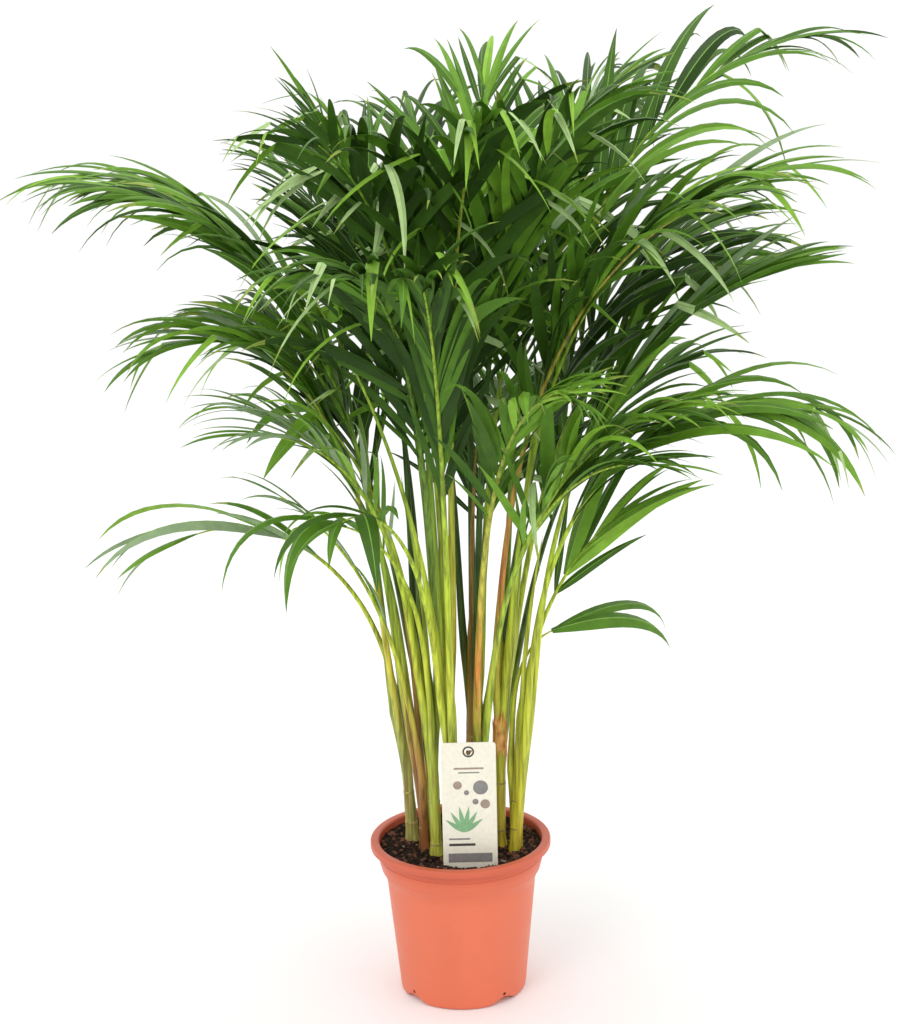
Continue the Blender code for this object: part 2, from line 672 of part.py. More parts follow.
def leaflet_trials(leaf, curve, along, side, draw):
    """The leaflet in its own place, then tilted and shortened by degrees."""
    shift = draw.uniform(-ANGLE_SCATTER, ANGLE_SCATTER)
    lift = draw.uniform(-RISE_SCATTER, RISE_SCATTER)
    droop = draw.uniform(1 - DROOP_SCATTER, 1 + DROOP_SCATTER)
    for size in LEAFLET_SIZES:
        for tilt in LEAFLET_TILTS:
            for turn in LEAFLET_TURNS:
                yield leaflet_line(leaf, curve, along, side, shift + turn, lift + tilt, droop, size)


def make_fronds():
    """Every frond: its stalk and the leaflets that keep clear of all other solids."""
    curves = {name: straightened(curve) for name, curve in settle_stalks().items()}
    fixed = []
    for cane in CANES:
        shape = bpy.data.objects[cane.name].data
        points = [vertex.co.copy() for vertex in shape.vertices]
        fixed.append((cane.name, tree_of(points, [tuple(f.vertices) for f in shape.polygons])))
    pieces = {}
    for leaf in FRONDS:
        pieces[leaf.name] = stalk_pieces(leaf, curves[leaf.name])
        for name, points, faces in pieces[leaf.name]:
            fixed.append((name, tree_of(points, faces)))
    accepted = []
    for leaf in FRONDS:
        draw = random.Random(leaf.name)
        own = []
        along_blade = np.linspace(FIRST_PAIR, LAST_PAIR, leaf.pairs)
        for along, side in itertools.product(along_blade, (-1, 1)):
            place = along + side * PAIR_OFFSET
            for line in leaflet_trials(leaf, curves[leaf.name], place, side, draw):
                tree = tree_of(*leaflet_solid(line, leaf.broad, LEAFLET_CLEARANCE))
                if any(tree.overlap(other) for name, other in fixed if name != leaf.name):
                    continue
                if any(tree.overlap(other) for name, other in accepted if name != leaf.name):
                    continue
                solid = leaflet_solid(line, leaf.broad)
                own.append(solid)
                accepted.append((leaf.name, tree_of(*solid)))
                break
        join_frond(leaf, pieces[leaf.name], own)


def join_frond(leaf, stalks, leaflets):
    """Join a frond's leaflets to its stalk, and leave a parted lower stalk by itself."""
    for name, points, faces in stalks:
        made = mesh_object(name, points, faces, "frond")
        if name != leaf.name:
            continue
        group = bpy.data.collections.new("leaflets")
        bpy.context.scene.collection.children.link(group)
        for points, faces in leaflets:
            mesh_object("leaflet", points, faces, "frond", group)
        boolean(made, "UNION", group=group, solver="MANIFOLD", apply=True)
        for item in list(group.objects):
            bpy.data.objects.remove(item, do_unlink=True)
        bpy.data.collections.remove(group)


def main():
    clear_scene()
    make_pot()
    make_soil()
    make_tag()
    for cane in CANES:
        make_cane(cane)
    make_fronds()


main()
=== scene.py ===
"""Looks of the potted areca palm.

The pot, soil, tag, canes and fronds of the frame are each replaced by a finished mesh in the same
place. Canes and fronds grow by the same rule as the frame's solids, carried to finer leaflets.
"""

import itertools
import math
import random
from collections import namedtuple

import bpy
import numpy as np
from mathutils import Matrix, Vector, noise


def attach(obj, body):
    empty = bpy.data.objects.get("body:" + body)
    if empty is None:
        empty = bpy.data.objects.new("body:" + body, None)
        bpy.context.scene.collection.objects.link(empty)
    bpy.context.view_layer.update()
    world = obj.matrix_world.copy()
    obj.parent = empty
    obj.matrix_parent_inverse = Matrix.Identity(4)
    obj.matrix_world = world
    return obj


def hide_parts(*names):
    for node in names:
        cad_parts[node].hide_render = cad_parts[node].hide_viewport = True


MM = 0.001
GAP = 0.3 * MM
BODY = "root"

# Camera, as fitted to the photograph's 902 x 1024 frame
CAMERA_PLACE = (0, -2.323, 1.157)
CAMERA_LENS = 75
CAMERA_DOWN = 14.07
CAMERA_ROLL = -1.36
CAMERA_PAN = -0.05

# Pot
POT_HEIGHT = 185 * MM
RIM_RADIUS = 105 * MM
LIP_HEIGHT = 9 * MM
NECK_TOP_RADIUS = 95.5 * MM
NECK_TOP = 164 * MM
NECK_FOOT_RADIUS = 86.2 * MM
NECK_FOOT = 131 * MM
BASE_RADIUS = 73.5 * MM
BASE_ROUND = 2.5 * MM
POT_WALL = 1.8 * MM
POT_FLOOR = 10 * MM
POT_SEGMENTS = 192
RECESS_COUNT = 4
RECESS_FIRST_AZIMUTH = 309
RECESS_WIDTH = 46 * MM
RECESS_HEIGHT = 8 * MM
RECESS_DEPTH = 11 * MM
RECESS_STEPS = 25
DRAIN_RADIUS = 2.2 * MM
DRAIN_HEIGHT = 11.5 * MM
DRAIN_DEPTH = 12 * MM

# Soil
SOIL_TOP = 170 * MM
SOIL_RINGS = 44
SOIL_SPOKES = 150
CRUMB_COUNT = 1700
SOIL_FLAT_SHARE = 0.5
SOIL_BANK = 7 * MM

# Plant tag
TAG_WIDTH = 62 * MM
TAG_TOP = 322 * MM
TAG_FOOT = 171 * MM
TAG_THICKNESS = 0.9 * MM
TAG_PLACE = (11 * MM, -59 * MM)
TAG_CORNER = 4 * MM
TAG_HOLE_RADIUS = 4.5 * MM
TAG_HOLE_DROP = 11 * MM
PRINT_THICKNESS = 0.12 * MM

# Canes
CANE_TAPER = 0.32
CANE_FOOT_SWELL = 1.22
CANE_SIDES = 20
CANE_STEPS = 90
SPEAR_LENGTHS = (110 * MM, 250 * MM)
SPEAR_RADIUS = 2.7 * MM
SPEAR_NECK = 30 * MM
SPEAR_BEND = 0.35

# Stalks
STALK_STEPS = 24
STALK_FINE = 3
STALK_FOOT_RADIUS = 5.0 * MM
STALK_BODY_RADIUS = 4.2 * MM
STALK_TIP_RADIUS = 0.9 * MM
STALK_FOOT_SHARE = 0.12
STALK_SOLID_SWELL = 1.15
STALK_SIDES = 14
SEAT_GAP = 1.5 * GAP
SHEATH_STEPS = 16
SHEATH_LENGTHS = (70 * MM, 130 * MM)
SHEATH_FOOT_CLEAR = 14 * MM
SHEATH_HUG = 1.6 * MM
STALK_TURNS = (0, 3, -3, 6, -6, 9, -9, 12, -12)
STALK_SWINGS = (0, 20, -20, 40, -40, 60, -60, 80, -80, 100, -100, 120, -120)

# Leaflets: places along the blade and lengths are shares, angles are in degrees
FIRST_PAIR = 0.0
LAST_PAIR = 0.985
LONGEST_PAIR = 0.3
FIRST_LEAFLET_LENGTH = 0.6
LAST_LEAFLET_LENGTH = 0.5
SPREAD_LOSS = 0.6
RISE_LOSS = 0.8
ANGLE_SCATTER = 9
RISE_SCATTER = 13
DROOP_SCATTER = 0.45
TWIST_SCATTER = 55
LENGTH_SCATTER = (0.86, 1.06)
LEAFLET_STEPS = 13
LEAFLET_DROOP = 11.2
EDGEWISE_DROOP = 0.3
LEAFLET_WIDTH = 0.060
# Painted shade: leaflets towards a frond's foot, inside the crown, often take the next darker green.
PAINTED_SHADE_SHARE = 0.45
LEAFLET_THICKNESS = 0.45 * MM
LEAFLET_FOLD = 0.36

Cane = namedtuple("Cane", "name x y azimuth lean height radius tone")

CANES = [
    Cane("cane_01", -0.056, 0.026, 180, 3, 0.170, 0.0076, "tan"),
    Cane("cane_02", -0.041, 0.000, 200, 2, 0.150, 0.0066, "rust"),
    Cane("cane_03", -0.028, -0.014, 190, 1, 0.200, 0.0072, "lime"),
    Cane("cane_04", -0.034, 0.052, 130, 3, 0.215, 0.0068, "green"),
    Cane("cane_05", -0.010, 0.016, 120, 1, 0.255, 0.0074, "lime"),
    Cane("cane_06", 0.016, 0.038, 60, 1, 0.245, 0.0072, "rust"),
    Cane("cane_07", 0.021, -0.016, 310, 2, 0.175, 0.0068, "green"),
    Cane("cane_08", 0.046, 0.006, 0, 1, 0.230, 0.0074, "yellow"),
    Cane("cane_09", 0.064, -0.008, 350, 3, 0.160, 0.0076, "yellow"),
    Cane("cane_10", 0.044, 0.048, 50, 3, 0.200, 0.0070, "green"),
    Cane("cane_11", -0.006, -0.037, 270, 1, 0.180, 0.0066, "lime"),
]

Frond = namedtuple(
    "Frond", "name cane seat azimuth lean arch late length bare leaflet spread rise roll pairs "
    "broad droop split tones stalk kinks loose")


def frond(name, cane, azimuth, lean, arch, length, late=2.2, seat=0.93, bare=0.47,
          leaflet=0.25, spread=38, rise=20, roll=0, pairs=20, broad=1.0, droop=1.0,
          split=False, tones="mid", stalk="lime", kinks=0.1, loose=1.0):
    """One frond, with the usual values filled in."""
    return Frond(name, cane, seat, azimuth, lean, arch, late, length, bare, leaflet, spread,
                 rise, roll, pairs, broad, droop, split, tones, stalk, kinks, loose)


FRONDS = [
    # Left side, from the top down
    frond("frond_01", 1, 174, 3.3, 95, 0.79, late=2.65, bare=0.42, leaflet=0.22, rise=-8,
          pairs=22, droop=0.9, split=True, tones="soft", stalk="olive", loose=1.4),
    frond("frond_02", 2, 195, 6, 70, 0.74, late=2.8, leaflet=0.24, spread=30, rise=2,
          droop=1.3, split=True, stalk="green", loose=1.4),
    frond("frond_03", 1, 200, 6.5, 92, 0.56, late=3.4, leaflet=0.22, spread=22, rise=-5,
          pairs=16, droop=1.2, split=True, tones="soft", stalk="gold", loose=1.4),
    frond("frond_04", 4, 150, 10, 60, 0.47, late=2.3, leaflet=0.22, pairs=25, tones="dark",
          stalk="deep"),
    frond("frond_05", 2, 165, 5, 76, 0.45, late=2.6, leaflet=0.18, pairs=11, droop=1.5,
          tones="pale", stalk="green", kinks=0.05),
    frond("frond_06", 3, 215, 7, 76, 0.42, late=2.3, leaflet=0.17, pairs=11, tones="pale"),
    frond("frond_07", 2, 180, 7, 48, 0.39, late=1.9, seat=0.60, leaflet=0.15, spread=14,
          pairs=4, droop=1.6, tones="pale"),
    frond("frond_08", 1, 178, 8, 101, 0.38, late=1.7, seat=0.82, bare=0.60, leaflet=0.24,
          spread=12, rise=-4, pairs=4, broad=1.35, split=True, tones="pale", kinks=0),
    frond("frond_09", 3, 218, 3, 80, 0.34, late=2.4, seat=0.70, bare=0.84, leaflet=0.19,
          spread=26, pairs=3, broad=1.8, droop=3.2, tones="bright", loose=0.6),
    # Top, from left to right
    frond("frond_10", 4, 140, 2, 60, 0.64, late=2.4, leaflet=0.17, pairs=26, tones="dark",
          stalk="deep", kinks=0.2, loose=1.4),
    frond("frond_11", 4, 115, 2, 46, 0.64, late=2.8, leaflet=0.22, pairs=24, tones="dark",
          stalk="deep", kinks=0.35, loose=1.8),
    frond("frond_12", 5, 95, 3, 58, 0.67, late=1.8, tones="dark", stalk="olive", kinks=0.3,
          loose=1.8),
    frond("frond_13", 6, 80, 2, 41, 0.67, late=2.3, leaflet=0.24, pairs=22, stalk="deep",
          kinks=0.3, loose=1.8),
    frond("frond_14", 10, 60, 5, 56, 0.75, pairs=24, tones="dark", stalk="olive", loose=1.3),
    # Right side, from the top down
    frond("frond_15", 8, 18, 6, 74, 0.83, late=2.6, leaflet=0.24, spread=34, rise=34, roll=30,
          pairs=17, broad=1.2, droop=1.2, split=True),
    frond("frond_16", 8, 350, 5.5, 74, 0.68, late=2.4, leaflet=0.24, rise=16, pairs=14,
          broad=1.15, droop=0.8, split=True, tones="soft", loose=1.5),
    frond("frond_17", 9, 10, 5, 68, 0.61, late=2.0, spread=14, rise=8, pairs=13, broad=1.25,
          droop=0.5, tones="soft", loose=1.6),
    frond("frond_18", 7, 325, 6, 62, 0.47, late=1.5, leaflet=0.20, tones="bright",
          stalk="green", loose=1.3),
    frond("frond_19", 9, 345, 3, 95, 0.56, late=1.8, seat=0.86, leaflet=0.26, spread=24,
          rise=0, pairs=13, broad=1.1, droop=1.3, split=True, tones="soft", loose=1.7),
    frond("frond_20", 10, 20, 9, 58, 0.58, late=2.0, leaflet=0.23, rise=8, pairs=12,
          broad=1.3, tones="soft"),
    frond("frond_21", 9, 5, 5, 44, 0.27, late=1.3, bare=0.60, leaflet=0.20, spread=22, rise=0,
          roll=48, pairs=5, broad=1.5, droop=0.9, tones="bright", loose=0.6),
    frond("frond_22", 9, 20, 3, 90, 0.19, late=3.5, seat=0.60, bare=0.95, leaflet=0.35,
          spread=7, rise=0, roll=42, pairs=1, broad=1.5, droop=1.5, loose=0.2),
    # A low pair that hangs on the left
    frond("frond_39", 3, 200, 4.5, 38, 0.39, late=1.6, bare=0.95, leaflet=0.19, spread=76,
          rise=-35, roll=-15, pairs=1, broad=2.6, droop=3.4, tones="bright", loose=0.3),
    # Towards the front
    # frond_23's dark greens are partly painted shade.
    frond("frond_23", 11, 265, 4, 56, 0.58, late=2.4, leaflet=0.22, spread=15, rise=10,
          pairs=18, tones="dark", kinks=0, loose=0.9),
    frond("frond_24", 11, 240, 8, 88, 0.38, bare=0.80, leaflet=0.16, spread=44, pairs=3,
          broad=2.0, droop=2.8, kinks=0, loose=0.6),
    frond("frond_25", 7, 292, 6, 86, 0.55, leaflet=0.17, spread=26, tones="bright",
          stalk="rust", kinks=0, loose=1.4),
    frond("frond_26", 7, 310, 10, 80, 0.43, leaflet=0.16, spread=24, pairs=14, kinks=0,
          loose=1.4),
    frond("frond_27", 3, 255, 4, 72, 0.62, pairs=26, tones="dark", stalk="olive", kinks=0.4,
          loose=1.8),
    frond("frond_28", 5, 240, 3, 62, 0.66, late=2.6, pairs=24, tones="dark", stalk="green",
          kinks=0.35, loose=1.9),
    frond("frond_29", 5, 280, 3, 58, 0.66, late=2.6, tones="dark", stalk="gold", kinks=0.35,
          loose=1.9),
    frond("frond_30", 6, 300, 4, 58, 0.69, late=2.6, pairs=23, stalk="deep", loose=1.6),
    # Towards the back and the right
    # Their dark greens and deep stalks are partly painted shade.
    frond("frond_31", 10, 25, 8, 66, 0.62, pairs=15, broad=1.2, tones="dark", stalk="deep",
          loose=1.6),
    frond("frond_32", 6, 78, 9, 90, 0.48, seat=0.60, pairs=22, tones="dark", stalk="deep",
          loose=1.4),
    frond("frond_33", 6, 110, 5, 60, 0.56, pairs=26, tones="dark", stalk="deep", loose=1.4),
    frond("frond_34", 10, 30, 12, 66, 0.50, seat=0.70, leaflet=0.20, pairs=12, broad=1.25,
          stalk="deep", loose=1.6),
    # A low pair that hangs at the front
    frond("frond_35", 11, 212, 7, 26, 0.52, late=1.6, bare=0.95, leaflet=0.14, spread=58,
          rise=10, pairs=1, broad=3.0, droop=2.6, tones="bright", loose=0.3),
    # The youngest, upright in the middle
    frond("frond_36", 5, 200, 2, 24, 0.60, late=1.8, leaflet=0.22, stalk="green", kinks=0.4,
          loose=1.6),
    frond("frond_37", 6, 32, 2, 34, 0.68, late=1.8, seat=0.80, leaflet=0.23, tones="soft",
          kinks=0.35, loose=1.6),
    frond("frond_38", 8, 335, 5, 62, 0.64, late=2.0, leaflet=0.23, pairs=24, stalk="tan",
          loose=1.5),
]

# Greens of the leaflets, and how often each comes up in a frond of each kind
LEAF_COLOURS = {
    # leaf_deep and leaf_dark are partly the leaves' own darker green and partly painted shade for
    # the crown's inside.
    "leaf_deep": (0.024, 0.065, 0.006),
    "leaf_dark": (0.048, 0.122, 0.010),
    "leaf_mid": (0.085, 0.205, 0.014),
    "leaf_fresh": (0.150, 0.320, 0.024),
    "leaf_bright": (0.240, 0.460, 0.040),
    "leaf_sage": (0.270, 0.380, 0.200),
    "leaf_yellow": (0.380, 0.500, 0.070),
    "leaf_pale": (0.400, 0.560, 0.230),
}
TONES = {
    # The dark kind, given to fronds inside and behind the crown, is partly painted shade.
    "dark": {"leaf_deep": 4, "leaf_dark": 4, "leaf_mid": 2},
    "mid": {"leaf_deep": 1, "leaf_dark": 3, "leaf_mid": 4, "leaf_fresh": 2, "leaf_bright": 0.4},
    "soft": {"leaf_dark": 1, "leaf_mid": 4, "leaf_fresh": 3, "leaf_bright": 0.4, "leaf_sage": 1},
    "bright": {"leaf_dark": 1, "leaf_mid": 3, "leaf_fresh": 4, "leaf_bright": 2,
               "leaf_yellow": 0.6},
    "pale": {"leaf_mid": 1, "leaf_fresh": 1.5, "leaf_bright": 0.5, "leaf_sage": 5},
}
# Greens of a leaflet past its kink: partly its paler underside, partly a painted highlight where the
# bent-over tip catches the light
KINK_UNDERSIDE_AND_HIGHLIGHT_TONES = {"leaf_fresh": 1, "leaf_bright": 3, "leaf_pale": 4}
# Share of the slimmer leaflets whose tips have yellowed, and the colour of these tips
BROAD_LEAFLET = 1.4
YELLOWED_SHARE = 0.3
YELLOWED_COLOUR = (0.27, 0.36, 0.06)
DRY_COLOUR = (0.24, 0.10, 0.03)
DRY_TOP = 0.36
STALK_COLOURS = {
    "lime": ((0.66, 0.72, 0.06), (0.54, 0.69, 0.05), (0.36, 0.55, 0.05)),
    "green": ((0.52, 0.62, 0.06), (0.38, 0.55, 0.05), (0.24, 0.44, 0.04)),
    "gold": ((0.78, 0.68, 0.08), (0.68, 0.66, 0.07), (0.42, 0.52, 0.06)),
    "rust": ((0.74, 0.29, 0.06), (0.64, 0.58, 0.08), (0.32, 0.46, 0.05)),
    "tan": ((0.68, 0.58, 0.08), (0.78, 0.31, 0.08), (0.54, 0.47, 0.08)),
    "olive": ((0.32, 0.42, 0.05), (0.24, 0.38, 0.05), (0.17, 0.32, 0.04)),
    # The deep stalks, given to fronds at the back and inside the crown, are partly dark stalks and
    # partly painted shade.
    "deep": ((0.10, 0.16, 0.03), (0.08, 0.16, 0.03), (0.07, 0.15, 0.02)),
}
CANE_HEIGHTS = (SOIL_TOP, SOIL_TOP + 0.16)
STEM_HEIGHTS = (SOIL_TOP, 0.29, 0.40, 0.50, 0.68)
CANE_COLOURS = {
    "tan": ((0.48, 0.44, 0.13), (0.44, 0.50, 0.10)),
    "green": ((0.28, 0.40, 0.06), (0.38, 0.54, 0.06)),
    "lime": ((0.60, 0.60, 0.09), (0.50, 0.62, 0.07)),
    "yellow": ((0.84, 0.70, 0.06), (0.60, 0.66, 0.06)),
    "rust": ((0.34, 0.12, 0.04), (0.46, 0.27, 0.06)),
}


# Material helpers

def new_material(name, roughness, metallic=0.0, specular=0.5, sheen=0.0, coat=0.0):
    """A Principled material and its shader node."""
    made = bpy.data.materials.new(name)
    made.use_nodes = True
    shader = made.node_tree.nodes["Principled BSDF"]
    shader.inputs["Roughness"].default_value = roughness
    shader.inputs["Metallic"].default_value = metallic
    shader.inputs["Specular IOR Level"].default_value = specular
    shader.inputs["Sheen Weight"].default_value = sheen
    shader.inputs["Coat Weight"].default_value = coat
    return made, shader


def object_coordinates(tree):
    return tree.nodes.new("ShaderNodeTexCoord").outputs["Object"]


def noise_node(tree, scale, detail=3.0, roughness=0.55, stretch=(1, 1, 1)):
    """Noise on object coordinates, which can be stretched along an axis."""
    mapping = tree.nodes.new("ShaderNodeMapping")
    mapping.inputs["Scale"].default_value = stretch
    tree.links.new(object_coordinates(tree), mapping.inputs["Vector"])
    made = tree.nodes.new("ShaderNodeTexNoise")
    made.inputs["Scale"].default_value = scale
    made.inputs["Detail"].default_value = detail
    made.inputs["Roughness"].default_value = roughness
    tree.links.new(mapping.outputs["Vector"], made.inputs["Vector"])
    return made.outputs["Fac"]


def ramp(tree, source, stops):
    """A colour ramp over a value, from (position, colour) stops."""
    made = tree.nodes.new("ShaderNodeValToRGB")
    band = made.color_ramp
    while len(band.elements) < len(stops):
        band.elements.new(0.5)
    for element, (position, colour) in zip(band.elements, stops):
        element.position = position
        element.color = (*colour, 1.0)
    tree.links.new(source, made.inputs["Fac"])
    return made.outputs["Color"]


def mix_colours(tree, factor, first, second, mode="MIX"):
    """Two colours or colour sockets mixed by a socket or a number."""
    made = tree.nodes.new("ShaderNodeMix")
    made.data_type = "RGBA"
    made.blend_type = mode
    factor_in = made.inputs[0]
    colour_ins = [s for s in made.inputs if s.type == "RGBA"]
    for socket, value in ((factor_in, factor), (colour_ins[0], first), (colour_ins[1], second)):
        if isinstance(value, bpy.types.NodeSocket):
            tree.links.new(value, socket)
        elif isinstance(value, tuple):
            socket.default_value = (*value, 1.0)
        else:
            socket.default_value = value
    return [s for s in made.outputs if s.type == "RGBA"][0]


def value_range(tree, source, low, high, to_low, to_high):
    made = tree.nodes.new("ShaderNodeMapRange")
    made.inputs["From Min"].default_value = low
    made.inputs["From Max"].default_value = high
    made.inputs["To Min"].default_value = to_low
    made.inputs["To Max"].default_value = to_high
    tree.links.new(source, made.inputs["Value"])
    return made.outputs["Result"]


def add_bump(tree, shader, height, strength, distance):
    made = tree.nodes.new("ShaderNodeBump")
    made.inputs["Strength"].default_value = strength
    made.inputs["Distance"].default_value = distance
    tree.links.new(height, made.inputs["Height"])
    tree.links.new(made.outputs["Normal"], shader.inputs["Normal"])


def scaled(colour, factor):
    return tuple(min(1.0, channel * factor) for channel in colour)


# Materials

def pot_material():
    """Satin terracotta-coloured plastic with upright flow marks and scuffs, and painted shade that
    darkens it from the neck up under the lip.
    """
    made, shader = new_material("pot_plastic", 0.42, specular=0.4)
    tree = made.node_tree
    base = (0.715, 0.163, 0.080)
    flow = noise_node(tree, 9, detail=2, stretch=(1, 1, 0.12))
    blotch = noise_node(tree, 34, detail=5)
    colour = ramp(tree, flow, [(0.30, scaled(base, 0.93)), (0.72, scaled(base, 1.07))])
    fine = ramp(tree, blotch, [(0.35, scaled(base, 0.96)), (0.70, scaled(base, 1.05))])
    plastic = mix_colours(tree, 0.35, colour, fine)
    # Painted shade: the colour is multiplied darker from the neck foot up to the lip, darkest just
    # under the lip where the lip shades the neck.
    split = tree.nodes.new("ShaderNodeSeparateXYZ")
    tree.links.new(object_coordinates(tree), split.inputs["Vector"])
    height = value_range(tree, split.outputs["Z"], NECK_FOOT, POT_HEIGHT, 0, 1)
    shade = ramp(tree, height, [(0.0, (1.0, 1.0, 1.0)), (0.55, (0.93, 0.86, 0.86)),
                                (0.85, (0.80, 0.66, 0.66)), (1.0, (0.84, 0.74, 0.74))])
    tree.links.new(mix_colours(tree, 1.0, plastic, shade, "MULTIPLY"),
                   shader.inputs["Base Color"])
    tree.links.new(value_range(tree, blotch, 0.3, 0.7, 0.36, 0.50), shader.inputs["Roughness"])
    add_bump(tree, shader, noise_node(tree, 420, detail=2), 0.12, 0.0004)
    return made


def soil_material():
    made, shader = new_material("soil_mix", 0.95, specular=0.2)
    tree = made.node_tree
    grain = noise_node(tree, 130, detail=6, roughness=0.7)
    colour = ramp(tree, grain, [(0.30, (0.006, 0.004, 0.003)), (0.55, (0.030, 0.016, 0.010)),
                                (0.80, (0.085, 0.040, 0.022))])
    tree.links.new(colour, shader.inputs["Base Color"])
    add_bump(tree, shader, noise_node(tree, 260, detail=6, roughness=0.7), 0.9, 0.003)
    return made


def crumb_material(name, colour):
    made, shader = new_material(name, 0.9, specular=0.25)
    tree = made.node_tree
    fleck = noise_node(tree, 330, detail=4, roughness=0.65)
    tree.links.new(ramp(tree, fleck, [(0.3, scaled(colour, 0.55)), (0.7, scaled(colour, 1.5))]),
                   shader.inputs["Base Color"])
    add_bump(tree, shader, fleck, 0.6, 0.001)
    return made


def card_material(name, colour, spread=0.05):
    """Coated card, with the faint mottle of print."""
    made, shader = new_material(name, 0.45, specular=0.4)
    tree = made.node_tree
    mottle = noise_node(tree, 240, detail=4)
    tree.links.new(ramp(tree, mottle, [(0.3, scaled(colour, 1 - spread)),
                                       (0.7, scaled(colour, 1 + spread))]),
                   shader.inputs["Base Color"])
    add_bump(tree, shader, mottle, 0.05, 0.0003)
    return made


def leaf_material(name, colour):
    """Satin leaf skin: slight mottling, fine lengthwise grain from the leaflet's own UVs."""
    made, shader = new_material(name, 0.46, specular=0.22)
    tree = made.node_tree
    mottle = noise_node(tree, 55, detail=4)
    tone = ramp(tree, mottle, [(0.30, scaled(colour, 0.84)), (0.70, scaled(colour, 1.16))])
    tree.links.new(tone, shader.inputs["Base Color"])
    tree.links.new(value_range(tree, mottle, 0.3, 0.7, 0.40, 0.54), shader.inputs["Roughness"])
    wave = tree.nodes.new("ShaderNodeTexWave")
    wave.wave_type = "BANDS"
    wave.bands_direction = "X"
    wave.inputs["Scale"].default_value = 5
    wave.inputs["Distortion"].default_value = 0.6
    coordinates = tree.nodes.new("ShaderNodeTexCoord")
    tree.links.new(coordinates.outputs["UV"], wave.inputs["Vector"])
    add_bump(tree, shader, wave.outputs["Fac"], 0.22, 0.0006)
    return made


def stem_material(name, heights_and_colours, streak=0.62):
    """A stem whose colour changes with height, streaked lengthwise and browned near the soil."""
    made, shader = new_material(name, 0.42, specular=0.28)
    tree = made.node_tree
    split = tree.nodes.new("ShaderNodeSeparateXYZ")
    tree.links.new(object_coordinates(tree), split.inputs["Vector"])
    low = heights_and_colours[0][0]
    high = heights_and_colours[-1][0]
    height = value_range(tree, split.outputs["Z"], low, high, 0, 1)
    along = ramp(tree, height, [((z - low) / (high - low), colour)
                                for z, colour in heights_and_colours])
    streaks = noise_node(tree, 260, detail=3, stretch=(1, 1, 0.04))
    shade = ramp(tree, streaks, [(0.34, (1 - streak,) * 3), (0.64, (1.0, 1.0, 1.0))])
    green = mix_colours(tree, 1.0, along, shade, "MULTIPLY")
    patches = noise_node(tree, 95, detail=4, stretch=(1, 1, 0.12))
    dry = value_range(tree, patches, 0.52, 0.66, 0, 0.75)
    fade = value_range(tree, split.outputs["Z"], SOIL_TOP, DRY_TOP, 1, 0)
    amount = tree.nodes.new("ShaderNodeMath")
    amount.operation = "MULTIPLY"
    tree.links.new(dry, amount.inputs[0])
    tree.links.new(fade, amount.inputs[1])
    browned = mix_colours(tree, amount.outputs["Value"], green, DRY_COLOUR)
    tree.links.new(browned, shader.inputs["Base Color"])
    add_bump(tree, shader, streaks, 0.35, 0.0008)
    return made


def husk_material():
    """Papery dry sheath: orange-brown, fibrous lengthwise."""
    made, shader = new_material("husk_paper", 0.75, specular=0.25)
    tree = made.node_tree
    fibres = noise_node(tree, 320, detail=5, roughness=0.65, stretch=(1, 1, 0.05))
    blotch = noise_node(tree, 60, detail=4)
    fibre = ramp(tree, fibres, [(0.30, (0.50, 0.18, 0.04)), (0.50, (0.82, 0.40, 0.11)),
                                (0.70, (0.92, 0.66, 0.30))])
    stain = ramp(tree, blotch, [(0.36, (0.60, 0.50, 0.42)), (0.52, (1.0, 1.0, 1.0))])
    tree.links.new(mix_colours(tree, 1.0, fibre, stain, "MULTIPLY"), shader.inputs["Base Color"])
    add_bump(tree, shader, fibres, 0.6, 0.001)
    return made


def plain_material(name, colour, roughness):
    made, shader = new_material(name, roughness)
    shader.inputs["Base Color"].default_value = (*colour, 1.0)
    return made


# Mesh helpers

def place_piece(name, points, faces, materials, nodes=(), face_materials=None, uvs=None,
                sharp=50):
    """A finished mesh object that rides on the body and stands for the named nodes."""
    mesh = bpy.data.meshes.new(name)
    mesh.from_pydata([tuple(map(float, p)) for p in points], [], faces)
    for material in materials:
        mesh.materials.append(material)
    if face_materials is not None:
        mesh.polygons.foreach_set("material_index", np.array(face_materials, np.int32))
    if uvs is not None:
        layer = mesh.uv_layers.new(name="leaf")
        vertex = np.zeros(len(mesh.loops), np.int32)
        mesh.loops.foreach_get("vertex_index", vertex)
        layer.data.foreach_set("uv", np.array(uvs, np.float32)[vertex].ravel())
    mesh.validate()
    mesh.shade_smooth()
    mesh.set_sharp_from_angle(angle=math.radians(sharp))
    made = bpy.data.objects.new(name, mesh)
    bpy.context.scene.collection.objects.link(made)
    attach(made, BODY)
    if nodes:
        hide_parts(*nodes)
    return made


def ring_faces(rings, sides, close_ends=True, first=0):
    """Quads between neighbouring rings of points, and caps on the two end rings."""
    faces = []
    for ring in range(rings - 1):
        low = first + ring * sides
        for step in range(sides):
            after = (step + 1) % sides
            faces.append((low + step, low + after, low + sides + after, low + sides + step))
    if close_ends:
        last = first + (rings - 1) * sides
        faces.append(tuple(first + step for step in reversed(range(sides))))
        faces.append(tuple(last + step for step in range(sides)))
    return faces


def turned_points(profile, segments):
    """Rings of points about the z axis from (radius, height) pairs."""
    angles = 2 * np.pi * np.arange(segments) / segments
    rings = [np.stack([radius * np.cos(angles), radius * np.sin(angles),
                       np.full(segments, height)], axis=1) for radius, height in profile]
    return np.concatenate(rings)


def arc(centre, radius, start, end, steps):
    """Points of an arc in the (radius, height) plane, angles in degrees."""
    return [(centre[0] + radius * math.cos(math.radians(a)),
             centre[1] + radius * math.sin(math.radians(a)))
            for a in np.linspace(start, end, steps)]


